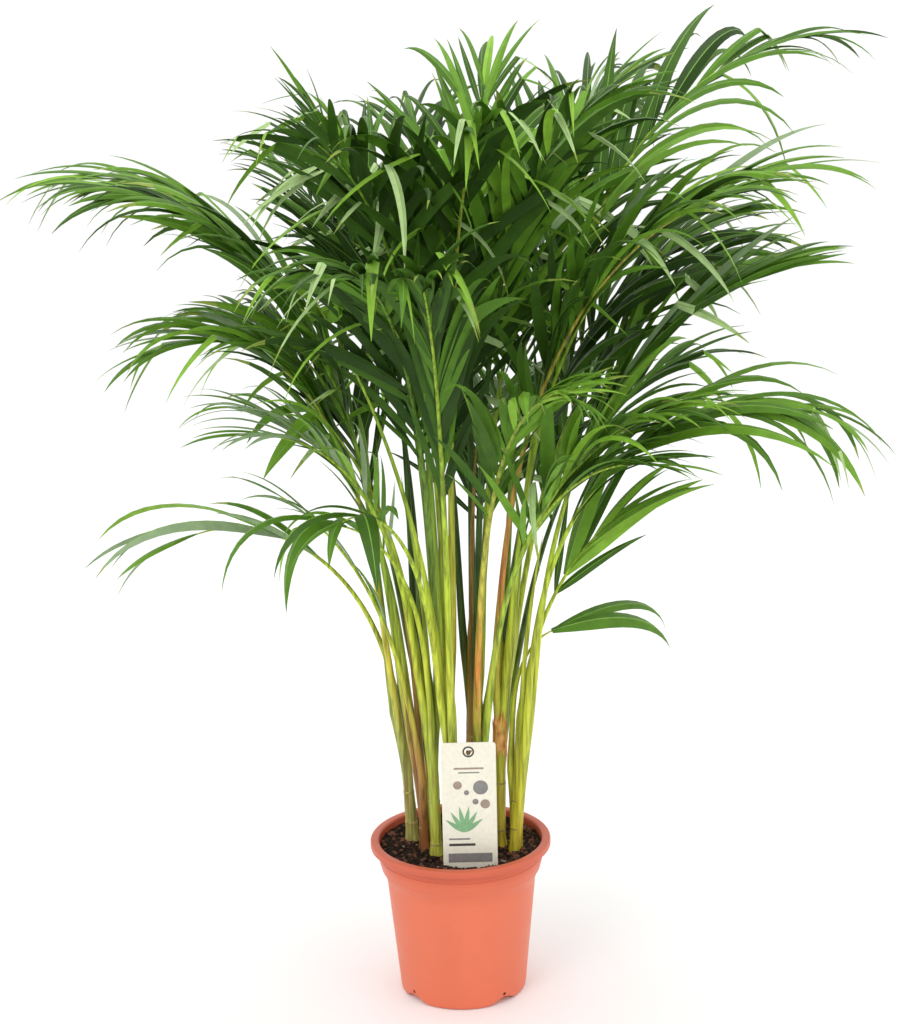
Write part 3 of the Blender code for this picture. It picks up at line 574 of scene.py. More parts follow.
def heading(azimuth, lean):
    """Unit vector that leans from the vertical towards an azimuth, both in degrees."""
    turn = math.radians(azimuth)
    tilt = math.radians(lean)
    return np.array([math.sin(tilt) * math.cos(turn), math.sin(tilt) * math.sin(turn),
                     math.cos(tilt)])


def unit(vector):
    return vector / np.linalg.norm(vector)


# Pot

def neck_radius(height):
    """Outer radius of the pot's wall below the lip."""
    if height <= NECK_FOOT:
        return BASE_RADIUS + (NECK_FOOT_RADIUS - BASE_RADIUS) * height / NECK_FOOT
    share = min(1.0, (height - NECK_FOOT) / (NECK_TOP - NECK_FOOT))
    ease = (1 - math.cos(math.pi * share)) / 2
    return NECK_FOOT_RADIUS + (NECK_TOP_RADIUS - NECK_FOOT_RADIUS) * ease


def pot_profile():
    """Outer wall, rolled lip and inner wall as (radius, height), from the floor's middle out."""
    lip_foot = POT_HEIGHT - LIP_HEIGHT
    profile = [(0.5 * MM, 0), (BASE_RADIUS * 0.5, 0)]
    profile += arc((BASE_RADIUS - BASE_ROUND, BASE_ROUND), BASE_ROUND, -90, -5, 6)
    for height in np.linspace(BASE_ROUND * 2, NECK_FOOT - 6 * MM, 16):
        profile.append((neck_radius(height), height))
    for height in np.linspace(NECK_FOOT - 4 * MM, NECK_TOP, 22):
        ring = 0.7 * MM * math.exp(-((height - 150 * MM) / (1.3 * MM)) ** 2)
        profile.append((neck_radius(height) + ring, height))
    profile += arc((NECK_TOP_RADIUS + 0.6 * MM, NECK_TOP + 3 * MM), 1.2 * MM, 250, 110, 5)
    profile += arc((NECK_TOP_RADIUS + 2.4 * MM, lip_foot - 2.2 * MM), 2.2 * MM, 180, 90, 5)
    profile += arc((RIM_RADIUS - 1.6 * MM, lip_foot + 1.6 * MM), 1.6 * MM, -90, 0, 5)
    profile += arc((RIM_RADIUS - 2.4 * MM, POT_HEIGHT - 2.4 * MM), 2.4 * MM, 0, 90, 7)
    profile += arc((NECK_TOP_RADIUS + 2.2 * MM, POT_HEIGHT - 3 * MM), 3 * MM, 90, 180, 7)
    inner = [(neck_radius(h) - POT_WALL, h) for h in np.linspace(NECK_TOP, POT_FLOOR, 24)]
    return profile + inner + [(0.5 * MM, POT_FLOOR)]


def cut_away(target, cutter):
    """Cut one object with another, apply the cut and remove the cutter."""
    modifier = target.modifiers.new("cut", "BOOLEAN")
    modifier.operation = "DIFFERENCE"
    modifier.object = cutter
    bpy.context.view_layer.update()
    evaluated = target.evaluated_get(bpy.context.evaluated_depsgraph_get())
    result = bpy.data.meshes.new_from_object(evaluated)
    target.modifiers.clear()
    target.data = result
    bpy.data.objects.remove(cutter, do_unlink=True)


def recess_cutter(azimuth):
    """A round-shouldered block that raises the pot's lower edge at one azimuth."""
    half = RECESS_WIDTH / 2
    outline = [(-half - 1 * MM, -2 * MM)]
    for share in np.linspace(-1, 1, RECESS_STEPS):
        outline.append((half * share, RECESS_HEIGHT * math.cos(math.pi / 2 * share) ** 1.5))
    outline.append((half + 1 * MM, -2 * MM))
    inside = BASE_RADIUS - RECESS_DEPTH
    outside = BASE_RADIUS + 20 * MM
    points = [(reach, across, up) for reach in (inside, outside) for across, up in outline]
    count = len(outline)
    faces = [tuple(range(count)), tuple(reversed(range(count, 2 * count)))]
    for step in range(count):
        after = (step + 1) % count
        faces.append((step, step + count, after + count, after))
    mesh = bpy.data.meshes.new("recess")
    mesh.from_pydata(points, [], faces)
    cutter = bpy.data.objects.new("recess", mesh)
    bpy.context.scene.collection.objects.link(cutter)
    cutter.rotation_euler.z = math.radians(azimuth)
    return cutter


def make_pot():
    profile = pot_profile()
    points = turned_points(profile, POT_SEGMENTS)
    faces = ring_faces(len(profile), POT_SEGMENTS)
    pot = place_piece("pot_shell", points, faces, [pot_material()], ["pot"], sharp=35)
    for number in range(RECESS_COUNT):
        azimuth = RECESS_FIRST_AZIMUTH + number * 360 / RECESS_COUNT
        cut_away(pot, recess_cutter(azimuth))
        reach = heading(azimuth, 90) * BASE_RADIUS
        bpy.ops.mesh.primitive_cylinder_add(vertices=32, radius=DRAIN_RADIUS, depth=DRAIN_DEPTH,
                                            location=(reach[0], reach[1], DRAIN_HEIGHT),
                                            rotation=(math.pi / 2, 0, math.radians(azimuth + 90)))
        cut_away(pot, bpy.context.object)
    pot.data.shade_smooth()
    pot.data.set_sharp_from_angle(angle=math.radians(35))


# Soil

def soil_height(x, y):
    """Height of the soil's uneven surface."""
    place = Vector((x, y, 0))
    broad = noise.noise(place * 28)
    fine = noise.noise(place * 110) + 0.6 * noise.noise(place * 240)
    edge = max(0.0, math.hypot(x, y) / NECK_TOP_RADIUS - SOIL_FLAT_SHARE) / (1 - SOIL_FLAT_SHARE)
    return SOIL_TOP + broad * 2.2 * MM + fine * 1.6 * MM + edge ** 2 * SOIL_BANK


def make_soil():
    wall = neck_radius(SOIL_TOP) - POT_WALL - 0.2 * MM
    points = [(0, 0, soil_height(0, 0))]
    for ring in range(1, SOIL_RINGS + 1):
        radius = wall * ring / SOIL_RINGS
        for spoke in range(SOIL_SPOKES):
            angle = 2 * math.pi * spoke / SOIL_SPOKES
            x = radius * math.cos(angle)
            y = radius * math.sin(angle)
            points.append((x, y, soil_height(x, y)))
    faces = [(0, 1 + step, 1 + (step + 1) % SOIL_SPOKES) for step in range(SOIL_SPOKES)]
    faces += ring_faces(SOIL_RINGS, SOIL_SPOKES, close_ends=False, first=1)
    below = len(points)
    lower = [(neck_radius(h) - POT_WALL - 0.3 * MM, h) for h in (150 * MM, 131 * MM, 10.3 * MM)]
    points += [tuple(p) for p in turned_points(lower, SOIL_SPOKES)]
    top = below - SOIL_SPOKES
    for ring in range(3):
        high = top + ring * SOIL_SPOKES
        for step in range(SOIL_SPOKES):
            after = (step + 1) % SOIL_SPOKES
            faces.append((high + step, high + SOIL_SPOKES + step, high + SOIL_SPOKES + after,
                          high + after))
    last = len(points) - SOIL_SPOKES
    faces.append(tuple(last + step for step in reversed(range(SOIL_SPOKES))))
    place_piece("soil_bed", points, faces, [soil_material()], ["soil"], sharp=180)
    make_crumbs(wall)


def make_crumbs(wall):
    """Lumps of mix, bark chips and fibres lying on the soil, joined into one mesh."""
    draw = random.Random("crumbs")
    materials = [crumb_material("crumb_dark", (0.020, 0.011, 0.008)),
                 crumb_material("crumb_brown", (0.065, 0.030, 0.018)),
                 crumb_material("crumb_bark", (0.150, 0.062, 0.036)),
                 crumb_material("crumb_light", (0.260, 0.180, 0.130))]
    shape = [Vector(p).normalized() for p in itertools.product((-1, 1), repeat=3)]
    shape += [Vector(p) for p in ((1, 0, 0), (-1, 0, 0), (0, 1, 0), (0, -1, 0), (0, 0, 1),
                                  (0, 0, -1))]
    corner = {(p[0], p[1], p[2]): index
              for index, p in enumerate(itertools.product((-1, 1), repeat=3))}
    sides = []
    for axis, sign, middle in ((0, 1, 8), (0, -1, 9), (1, 1, 10), (1, -1, 11), (2, 1, 12),
                               (2, -1, 13)):
        loop = []
        for a, b in ((-1, -1), (1, -1), (1, 1), (-1, 1)):
            place = [0, 0, 0]
            place[axis] = sign
            place[(axis + 1) % 3] = a
            place[(axis + 2) % 3] = b
            loop.append(corner[tuple(place)])
        if sign < 0:
            loop.reverse()
        for step in range(4):
            sides.append((middle, loop[step], loop[(step + 1) % 4]))
    points = []
    faces = []
    which = []
    for _ in range(CRUMB_COUNT):
        radius = (wall - 3 * MM) * math.sqrt(draw.random())
        angle = draw.uniform(0, 2 * math.pi)
        kind = draw.choices((0, 1, 2, 3), (45, 34, 18, 3))[0]
        size = draw.uniform(1.0, 3.0) * MM * (1.25 if kind == 2 else 1)
        stretch = (draw.uniform(0.8, 2.0), draw.uniform(0.6, 1.1), draw.uniform(0.4, 0.8))
        turn = (Matrix.Rotation(draw.uniform(0, 2 * math.pi), 3, "Z")
                @ Matrix.Rotation(draw.uniform(-0.6, 0.6), 3, "X")
                @ Matrix.Rotation(draw.uniform(-0.6, 0.6), 3, "Y"))
        x = radius * math.cos(angle)
        y = radius * math.sin(angle)
        centre = Vector((x, y, soil_height(x, y) + size * 0.25))
        first = len(points)
        for corner_point in shape:
            bumpy = corner_point * draw.uniform(0.75, 1.15)
            local = Vector(bumpy[axis] * stretch[axis] * size for axis in range(3))
            points.append(tuple(centre + turn @ local))
        faces += [tuple(first + index for index in side) for side in sides]
        which += [kind] * len(sides)
    place_piece("soil_crumbs", points, faces, materials, face_materials=which, sharp=40)


# Tag

def rounded_rectangle(width, low, high, corner, steps=8):
    """Outline of an upright card, anticlockwise from its lower right corner."""
    half = width / 2
    centres = ((half - corner, low + corner, -90), (half - corner, high - corner, 0),
               (-half + corner, high - corner, 90), (-half + corner, low + corner, 180))
    outline = []
    for x, z, start in centres:
        for angle in np.linspace(start, start + 90, steps):
            outline.append((x + corner * math.cos(math.radians(angle)),
                            z + corner * math.sin(math.radians(angle))))
    return outline


def slab(name, outline, front, back, material, hole=None, nodes=()):
    """A flat plate in the tag's plane between two depths, with an optional round hole."""
    x, y = TAG_PLACE
    count = len(outline)
    points = [(x + across, y + depth, up) for depth in (front, back) for across, up in outline]
    faces = []
    for step in range(count):
        after = (step + 1) % count
        faces.append((step, step + count, after + count, after))
    if hole is None:
        faces.append(tuple(range(count)))
        faces.append(tuple(reversed(range(count, 2 * count))))
    else:
        centre, radius = hole
        rim = []
        for across, up in outline:
            away = math.atan2(up - centre[1], across - centre[0])
            rim.append((centre[0] + radius * math.cos(away), centre[1] + radius * math.sin(away)))
        points += [(x + across, y + depth, up) for depth in (front, back) for across, up in rim]
        for step in range(count):
            after = (step + 1) % count
            faces.append((step, after, after + 2 * count, step + 2 * count))
            faces.append((step + count, step + 3 * count, after + 3 * count, after + count))
            faces.append((step + 2 * count, after + 2 * count, after + 3 * count,
                          step + 3 * count))
    return place_piece(name, points, faces, [material], nodes, sharp=30)


def leaf_outline(foot, length, width, turn):
    """A pointed leaf shape for the card's print."""
    outline = []
    for side in (1, -1):
        shares = np.linspace(0, 1, 8)[:-1] if side > 0 else np.linspace(1, 0, 8)[:-1]
        for share in shares:
            reach = share * length
            half = side * width / 2 * math.sin(math.pi * share ** 0.8)
            outline.append((foot[0] + reach * math.cos(turn) - half * math.sin(turn),
                            foot[1] + reach * math.sin(turn) + half * math.cos(turn)))
    return outline


def make_tag():
    """The cream card with a plain pattern: bars, dots and a small spray of leaf shapes."""
    card = card_material("tag_card", (0.79, 0.76, 0.63), 0.05)
    grey = card_material("tag_grey", (0.22, 0.21, 0.20), 0.15)
    dark = card_material("tag_dark", (0.05, 0.045, 0.04), 0.15)
    brown = card_material("tag_brown", (0.33, 0.25, 0.19), 0.12)
    green = card_material("tag_green", (0.20, 0.40, 0.20), 0.12)
    half = TAG_THICKNESS / 2
    hole = (0.0, TAG_TOP - TAG_HOLE_DROP)
    outline = rounded_rectangle(TAG_WIDTH, TAG_FOOT, TAG_TOP, TAG_CORNER, 10)
    slab("tag_card", outline, -half, half, card, (hole, TAG_HOLE_RADIUS), ["plant_tag"])
    tongue = [(-11 * MM, SOIL_TOP - 28 * MM), (0, SOIL_TOP - 42 * MM), (11 * MM, SOIL_TOP - 28 * MM),
              (11 * MM, TAG_FOOT + 2 * MM), (-11 * MM, TAG_FOOT + 2 * MM)]
    slab("tag_tongue", tongue, -half * 0.9, half * 0.9, card)
    front = -half - PRINT_THICKNESS
    ring = [(hole[0] + 6.6 * MM * math.cos(a), hole[1] + 6.6 * MM * math.sin(a))
            for a in np.linspace(0, 2 * math.pi, 40, endpoint=False)]
    slab("tag_ring", ring, front, -half * 0.5, dark, (hole, TAG_HOLE_RADIUS + 0.2 * MM))
    bars = ((0, 183, 50, 11, grey), (-9, 199, 30, 3, dark), (-12, 206, 24, 2, grey),
            (0, 291, 34, 2.2, brown), (0, 286, 24, 1.6, grey))
    for number, (across, up, width, height, colour) in enumerate(bars):
        shape = [(across * MM + x, up * MM + z) for x, z in
                 rounded_rectangle(width * MM, -height * MM / 2, height * MM / 2, 0.7 * MM, 4)]
        slab("tag_bar_%d" % (number + 1), shape, front, -half * 0.5, colour)
    foot = (-6 * MM, 214 * MM)
    for number, turn in enumerate(np.radians((38, 60, 80, 100, 122, 144))):
        shape = leaf_outline(foot, (34 - 3 * abs(number - 2.5)) * MM, 5.5 * MM, turn)
        slab("tag_leaf_%d" % (number + 1), shape, front - 0.02 * MM * number, -half * 0.5, green)
    for number, (across, up, radius) in enumerate(((13, 268, 8.5), (18, 248, 5.5), (7, 251, 3.5),
                                                   (-13, 271, 5.0), (-3, 262, 3.0))):
        dot = [((across + radius * math.cos(a)) * MM, (up + radius * math.sin(a)) * MM)
               for a in np.linspace(0, 2 * math.pi, 28, endpoint=False)]
        slab("tag_dot_%d" % (number + 1), dot, front, -half * 0.5, brown if number % 2 else grey)


# Canes

def cane_point(cane, share):
    """The point on a cane's axis at a share of its height above the soil."""
    foot = np.array([cane.x, cane.y, SOIL_TOP + GAP])
    return foot + heading(cane.azimuth, cane.lean) * cane.height * share


def cane_radius(cane, share):
    return cane.radius * (1 - CANE_TAPER * share)


def ring_scars(cane, draw):
    """Shares of the cane's height at which old leaf bases have left a scar."""
    scars = []
    height = draw.uniform(12, 30) * MM
    while height < cane.height * 0.6:
        scars.append(height / cane.height)
        height += draw.uniform(34, 60) * MM
    return scars


def make_cane(cane, bark, scar_material):
    """A cane with ring scars, the lapping edge of each old sheath and a young spear on top."""
    draw = random.Random(cane.name)
    scars = ring_scars(cane, draw)
    spear = draw.uniform(*SPEAR_LENGTHS)
    shares = np.linspace(-0.04, 1 + spear / cane.height, CANE_STEPS)
    scar_width = 1.1 * MM / cane.height
    for scar in scars:
        shares = np.append(shares, (scar - scar_width, scar, scar + scar_width))
    shares = np.sort(shares)
    along = heading(cane.azimuth, cane.lean)
    first = unit(np.cross(along, np.array([0.0, 1.0, 0.0])))
    second = np.cross(along, first)
    angles = 2 * np.pi * np.arange(CANE_SIDES) / CANE_SIDES
    points = []
    for share in shares:
        radius = cane_radius(cane, min(share, 1.0))
        foot = max(0.0, 1 - share * cane.height / (14 * MM))
        radius *= 1 + (CANE_FOOT_SWELL - 1) * foot
        for scar in scars:
            gap = (share - scar) / scar_width
            radius *= 1 + 0.05 * math.exp(-gap * gap) - 0.04 * math.exp(-((gap - 4) / 3) ** 2)
        above = max(0.0, share - 1) * cane.height
        if above > 0:
            slim = min(1.0, above / SPEAR_NECK)
            radius += (SPEAR_RADIUS - radius) * slim * slim * (3 - 2 * slim)
            radius *= max(0.05, 1 - (above / spear) ** 3)
        wobble = 1 + 0.05 * np.sin(2 * angles + 9 * share + cane.x * 90)
        centre = cane_point(cane, share) + heading(cane.azimuth, 90) * SPEAR_BEND * above ** 2
        ring = np.cos(angles)[:, None] * first + np.sin(angles)[:, None] * second
        points.append(centre + ring * (radius * wobble)[:, None])
    faces = ring_faces(len(shares), CANE_SIDES)
    which = []
    for share, after in zip(shares, shares[1:]):
        middle = (share + after) / 2
        scarred = any(abs(middle - scar) < scar_width * 1.01 for scar in scars)
        which += [int(scarred)] * CANE_SIDES
    which += [0, 0]
    place_piece(cane.name + "_bark", np.concatenate(points), faces, [bark, scar_material],
                [cane.name], which, sharp=60)


# Stalks

def stalk_radius(share):
    """Radius of a stalk, from its sheathing foot to its tip."""
    places = (0, STALK_FOOT_SHARE, 1)
    return np.interp(share, places, (STALK_FOOT_RADIUS, STALK_BODY_RADIUS, STALK_TIP_RADIUS))


Curve = namedtuple("Curve", "points tangents across uppers")


def stalk_line(leaf, side, turn, steps=STALK_STEPS):
    """Points, tangents, cross direction and upper sides along a frond's stalk."""
    cane = CANES[leaf.cane - 1]
    reach = cane_radius(cane, leaf.seat) + STALK_FOOT_RADIUS * STALK_SOLID_SWELL + SEAT_GAP
    place = cane_point(cane, leaf.seat) + heading(side, 90) * reach
    azimuth = leaf.azimuth + turn
    points = []
    tangents = []
    uppers = []
    for step in range(steps + 1):
        share = step / steps
        lean = leaf.lean + leaf.arch * share ** leaf.late
        points.append(place)
        tangents.append(heading(azimuth, lean))
        uppers.append(heading(azimuth + 180, 90 - lean))
        middle = leaf.lean + leaf.arch * ((step + 0.5) / steps) ** leaf.late
        place = place + heading(azimuth, middle) * leaf.length / steps
    return Curve(np.array(points), np.array(tangents), heading(azimuth + 90, 90),
                 np.array(uppers))


def line_gap(line, radii, other, other_radii):
    """Smallest clear distance between two tapering round lines."""
    start = other[:-1][None]
    run = (other[1:] - other[:-1])[None]
    share = ((line[:, None] - start) * run).sum(2) / np.maximum((run ** 2).sum(2), 1e-12)
    share = np.clip(share, 0, 1)
    nearest = start + run * share[..., None]
    thick = other_radii[:-1][None] * (1 - share) + other_radii[1:][None] * share
    distance = np.linalg.norm(line[:, None] - nearest, axis=2) - thick - radii[:, None]
    return distance.min()


def finer(line, values, times=4):
    """The same line and values with more points."""
    count = (len(line) - 1) * times + 1
    at = np.linspace(0, len(line) - 1, count)
    whole = np.arange(len(line))
    points = np.stack([np.interp(at, whole, line[:, axis]) for axis in range(3)], axis=1)
    return points, np.interp(at, whole, values)


def settle_stalks():
    """The side of its cane and the turn at which every stalk is clear of all the others."""
    taken = []
    for cane in CANES:
        shares = np.linspace(0, 1, 12)
        line = np.array([cane_point(cane, share) for share in shares])
        taken.append((line, np.array([cane_radius(cane, share) for share in shares])))
    shares = np.arange(STALK_STEPS + 1) / STALK_STEPS
    radii = stalk_radius(shares) * STALK_SOLID_SWELL
    settled = {}
    for leaf in FRONDS:
        best = None
        for turn in STALK_TURNS:
            for swing in STALK_SWINGS:
                curve = stalk_line(leaf, leaf.azimuth + swing, turn)
                line, thick = finer(curve.points, radii)
                clear = min(line_gap(line, thick, *one) for one in taken)
                if best is None or clear > best[0]:
                    best = (clear, curve, leaf.azimuth + swing, turn)
                if clear > GAP:
                    break
            if best[0] > GAP:
                break
        settled[leaf.name] = best[2:]
        taken.append((best[1].points, radii))
    return settled


def on_stalk(curve, share):
    """Point, tangent, cross direction and upper side at a share of the stalk's length."""
    steps = len(curve.points) - 1
    place = share * steps
    step = min(int(place), steps - 1)
    part = place - step
    point = curve.points[step] * (1 - part) + curve.points[step + 1] * part
    tangent = unit(curve.tangents[step] * (1 - part) + curve.tangents[step + 1] * part)
    upper = unit(curve.uppers[step] * (1 - part) + curve.uppers[step + 1] * part)
    return point, tangent, curve.across, upper


def sheath_line(leaf, curve, side):
    """Places and radii of the sheath, from where it rises out of its cane up to the stalk."""
    cane = CANES[leaf.cane - 1]
    draw = random.Random(leaf.name + " sheath")
    length = min(draw.uniform(*SHEATH_LENGTHS), leaf.seat * cane.height - SHEATH_FOOT_CLEAR)
    low = leaf.seat - length / cane.height
    reach = np.linalg.norm(curve.points[0] - cane_point(cane, leaf.seat)) - SHEATH_HUG
    places = []
    radii = []
    for step in range(SHEATH_STEPS):
        part = step / SHEATH_STEPS
        share = low + (leaf.seat - low) * part
        thick = cane_radius(cane, share)
        away = thick * 0.3 + (reach - thick * 0.3) * part ** 1.3
        places.append(cane_point(cane, share) + heading(side, 90) * away)
        radii.append(thick * 0.75 + (STALK_FOOT_RADIUS - thick * 0.75) * part)
    return places, radii


def make_stalk(leaf, curve, side, material):
    """The stalk: a long sheath that rises from its cane, a channelled upper side, a fine tip."""
    places, radii = sheath_line(leaf, curve, side)
    steps = len(curve.points) - 1
    towards_cane = -heading(side, 90)
    for step, place in enumerate(curve.points):
        share = step / steps
        hug = max(0.0, 1 - share / 0.10)
        places.append(place + towards_cane * hug ** 1.5 * SHEATH_HUG)
        radii.append(stalk_radius(share))
    places = np.array(places)
    tangents = np.gradient(places, axis=0)
    angles = 2 * np.pi * np.arange(STALK_SIDES) / STALK_SIDES
    points = []
    for number, (place, tangent, radius) in enumerate(zip(places, tangents, radii)):
        step = number - SHEATH_STEPS
        along = unit(tangent)
        upper = curve.uppers[max(step, 0)]
        upper = unit(upper - along * np.dot(upper, along))
        depth = 0.34 * min(1.0, max(0.0, step / steps * 5))
        channel = 1 - depth * np.maximum(0, np.cos(angles)) ** 2
        ring = np.cos(angles)[:, None] * upper + np.sin(angles)[:, None] * np.cross(along, upper)
        points.append(place + ring * (radius * channel)[:, None])
    nodes = [leaf.name + "_stalk"] if leaf.split else []
    place_piece(leaf.name + "_stem", np.concatenate(points), ring_faces(len(places), STALK_SIDES),
                [material], nodes, sharp=60)


# Husks: cane, azimuth of the middle, lowest and highest height above the soil, and half of
# the angle that they wrap, in degrees
HUSKS = [
    (8, 268, 0.108, 0.172, 95),
    (7, 255, 0.115, 0.172, 60),
    (4, 190, 0.050, 0.140, 70),
    (10, 60, 0.040, 0.120, 70),
    (6, 95, 0.080, 0.170, 65),
]
HUSK_ROWS = 22
HUSK_COLUMNS = 26
HUSK_THICKNESS = 0.5 * MM
HUSK_CLEAR = 0.9 * MM


def make_husk(number, cane_number, azimuth, low, high, half_width, material):
    """A papery rest of an old sheath: wraps part of its cane, torn at both ends."""
    cane = CANES[cane_number - 1]
    draw = random.Random("husk %d" % number)
    teeth = [draw.uniform(0, 1) for _ in range(HUSK_COLUMNS + 1)]
    skins = []
    for skin in (0, 1):
        for row in range(HUSK_ROWS + 1):
            part = row / HUSK_ROWS
            for column in range(HUSK_COLUMNS + 1):
                across = 2 * column / HUSK_COLUMNS - 1
                turn = azimuth + half_width * across * (1 - 0.35 * part ** 2)
                tear = (0.25 * teeth[column] + 0.20 * across ** 2) * (high - low)
                ragged = 0.22 * teeth[-1 - column] * (high - low) * (1 - part)
                height = low + ragged + (high - low - tear) * part
                share = min(1.0, height / cane.height)
                flare = 2.2 * MM * part ** 4 + 0.9 * MM * abs(across) ** 3
                ripple = 0.5 * MM * math.sin(7 * across + 5 * part + number)
                radius = (cane_radius(cane, share) + HUSK_CLEAR + flare + ripple * part
                          + skin * HUSK_THICKNESS)
                skins.append(cane_point(cane, height / cane.height) + heading(turn, 90) * radius)
    wide = HUSK_COLUMNS + 1
    layer = wide * (HUSK_ROWS + 1)
    faces = []
    for row in range(HUSK_ROWS):
        for column in range(HUSK_COLUMNS):
            corner = row * wide + column
            quad = (corner, corner + 1, corner + 1 + wide, corner + wide)
            faces.append(tuple(layer + index for index in quad))
            faces.append(tuple(reversed(quad)))
    rim = [column for column in range(wide)]
    rim += [row * wide + HUSK_COLUMNS for row in range(1, HUSK_ROWS + 1)]
    rim += [HUSK_ROWS * wide + column for column in reversed(range(HUSK_COLUMNS))]
    rim += [row * wide for row in reversed(range(1, HUSK_ROWS))]
    for corner, after in zip(rim, rim[1:] + rim[:1]):
        faces.append((corner, after, layer + after, layer + corner))
    place_piece("husk_%02d" % number, skins, faces, [material], sharp=50)


# Leaflets

def leaflet_share(along):
    """Length of a leaflet as a share of the frond's longest, by its place on the blade."""
    if along < LONGEST_PAIR:
        rise = math.sin(math.pi / 2 * along / LONGEST_PAIR)
        return FIRST_LEAFLET_LENGTH + (1 - FIRST_LEAFLET_LENGTH) * rise
    fall = ((along - LONGEST_PAIR) / (1 - LONGEST_PAIR)) ** 1.5
    return 1 - (1 - LAST_LEAFLET_LENGTH) * fall


def leaflet_line(leaf, curve, along, side, shift, lift, droop, size=1.0, kink=None):
    """Points, width directions and upper sides of one leaflet that arches and droops."""
    root, tangent, across, upper = on_stalk(curve, leaf.bare + (1 - leaf.bare) * along)
    angle = math.radians(leaf.spread * (1 - SPREAD_LOSS * along ** 1.2) + shift)
    rise = math.radians((leaf.rise + side * leaf.roll) * (1 - RISE_LOSS * along) + lift)
    sideways = math.cos(rise) * side * across + math.sin(rise) * upper
    way = math.cos(angle) * tangent + math.sin(angle) * sideways
    width = unit(tangent - way * np.dot(tangent, way))
    face = np.cross(width, way)
    if np.dot(face, upper) < 0:
        face = -face
    length = leaf.leaflet * leaflet_share(along) * size
    points = [root]
    widths = [width]
    faces = [face]
    down = np.array([0.0, 0.0, -1.0])
    for step in range(LEAFLET_STEPS):
        pull = leaf.droop * droop * LEAFLET_DROOP * length * (step + 1) / LEAFLET_STEPS ** 2
        bend = face * np.dot(down, face) + EDGEWISE_DROOP * width * np.dot(down, width)
        way = unit(way + bend * pull)
        if step == kink:
            way = unit(way + 0.9 * down)
        width = unit(width - way * np.dot(width, way))
        turned_face = np.cross(width, way)
        face = turned_face if np.dot(turned_face, face) > 0 else -turned_face
        points.append(points[-1] + way * length / LEAFLET_STEPS)
        widths.append(width)
        faces.append(face)
    return np.array(points), np.array(widths), np.array(faces), length


# The section of a leaflet: place across it, and whether the point is on its upper skin
SECTION = ((-1.0, 0.0), (-0.5, 1.0), (-0.07, 1.0), (0.0, 1.8), (0.07, 1.0), (0.5, 1.0),
           (1.0, 0.0), (0.0, -1.0))
RIB_SIDES = (2, 3)


def leaflet_mesh(line, width, fold, twist):
    """Rings of points of one leaflet, a folded blade with a raised midrib, and their UVs."""
    points, widths, uppers, length = line
    along = np.linspace(0, 1, len(points))
    swell = np.where(along < 0.32, 0.30 + 0.70 * np.sin(np.pi / 2 * along / 0.32), 1.0)
    taper = np.where(along > 0.32, 1 - ((along - 0.32) / 0.68) ** 2.1, 1.0)
    half = width / 2 * swell * np.maximum(taper, 0.03)
    thick = LEAFLET_THICKNESS / 2 * np.maximum(taper, 0.25)
    turn = twist * along
    cosine, sine = np.cos(turn)[:, None], np.sin(turn)[:, None]
    aside = widths * cosine + uppers * sine
    above = uppers * cosine - widths * sine
    rings = []
    uvs = []
    for place, skin in SECTION:
        height = fold * half * (1 - abs(place)) + thick * skin
        rings.append(points + aside * (half * place)[:, None] + above * height[:, None])
        uvs.append(np.stack([np.full(len(along), place), along], axis=1))
    return np.stack(rings, axis=1).reshape(-1, 3), np.stack(uvs, axis=1).reshape(-1, 2)


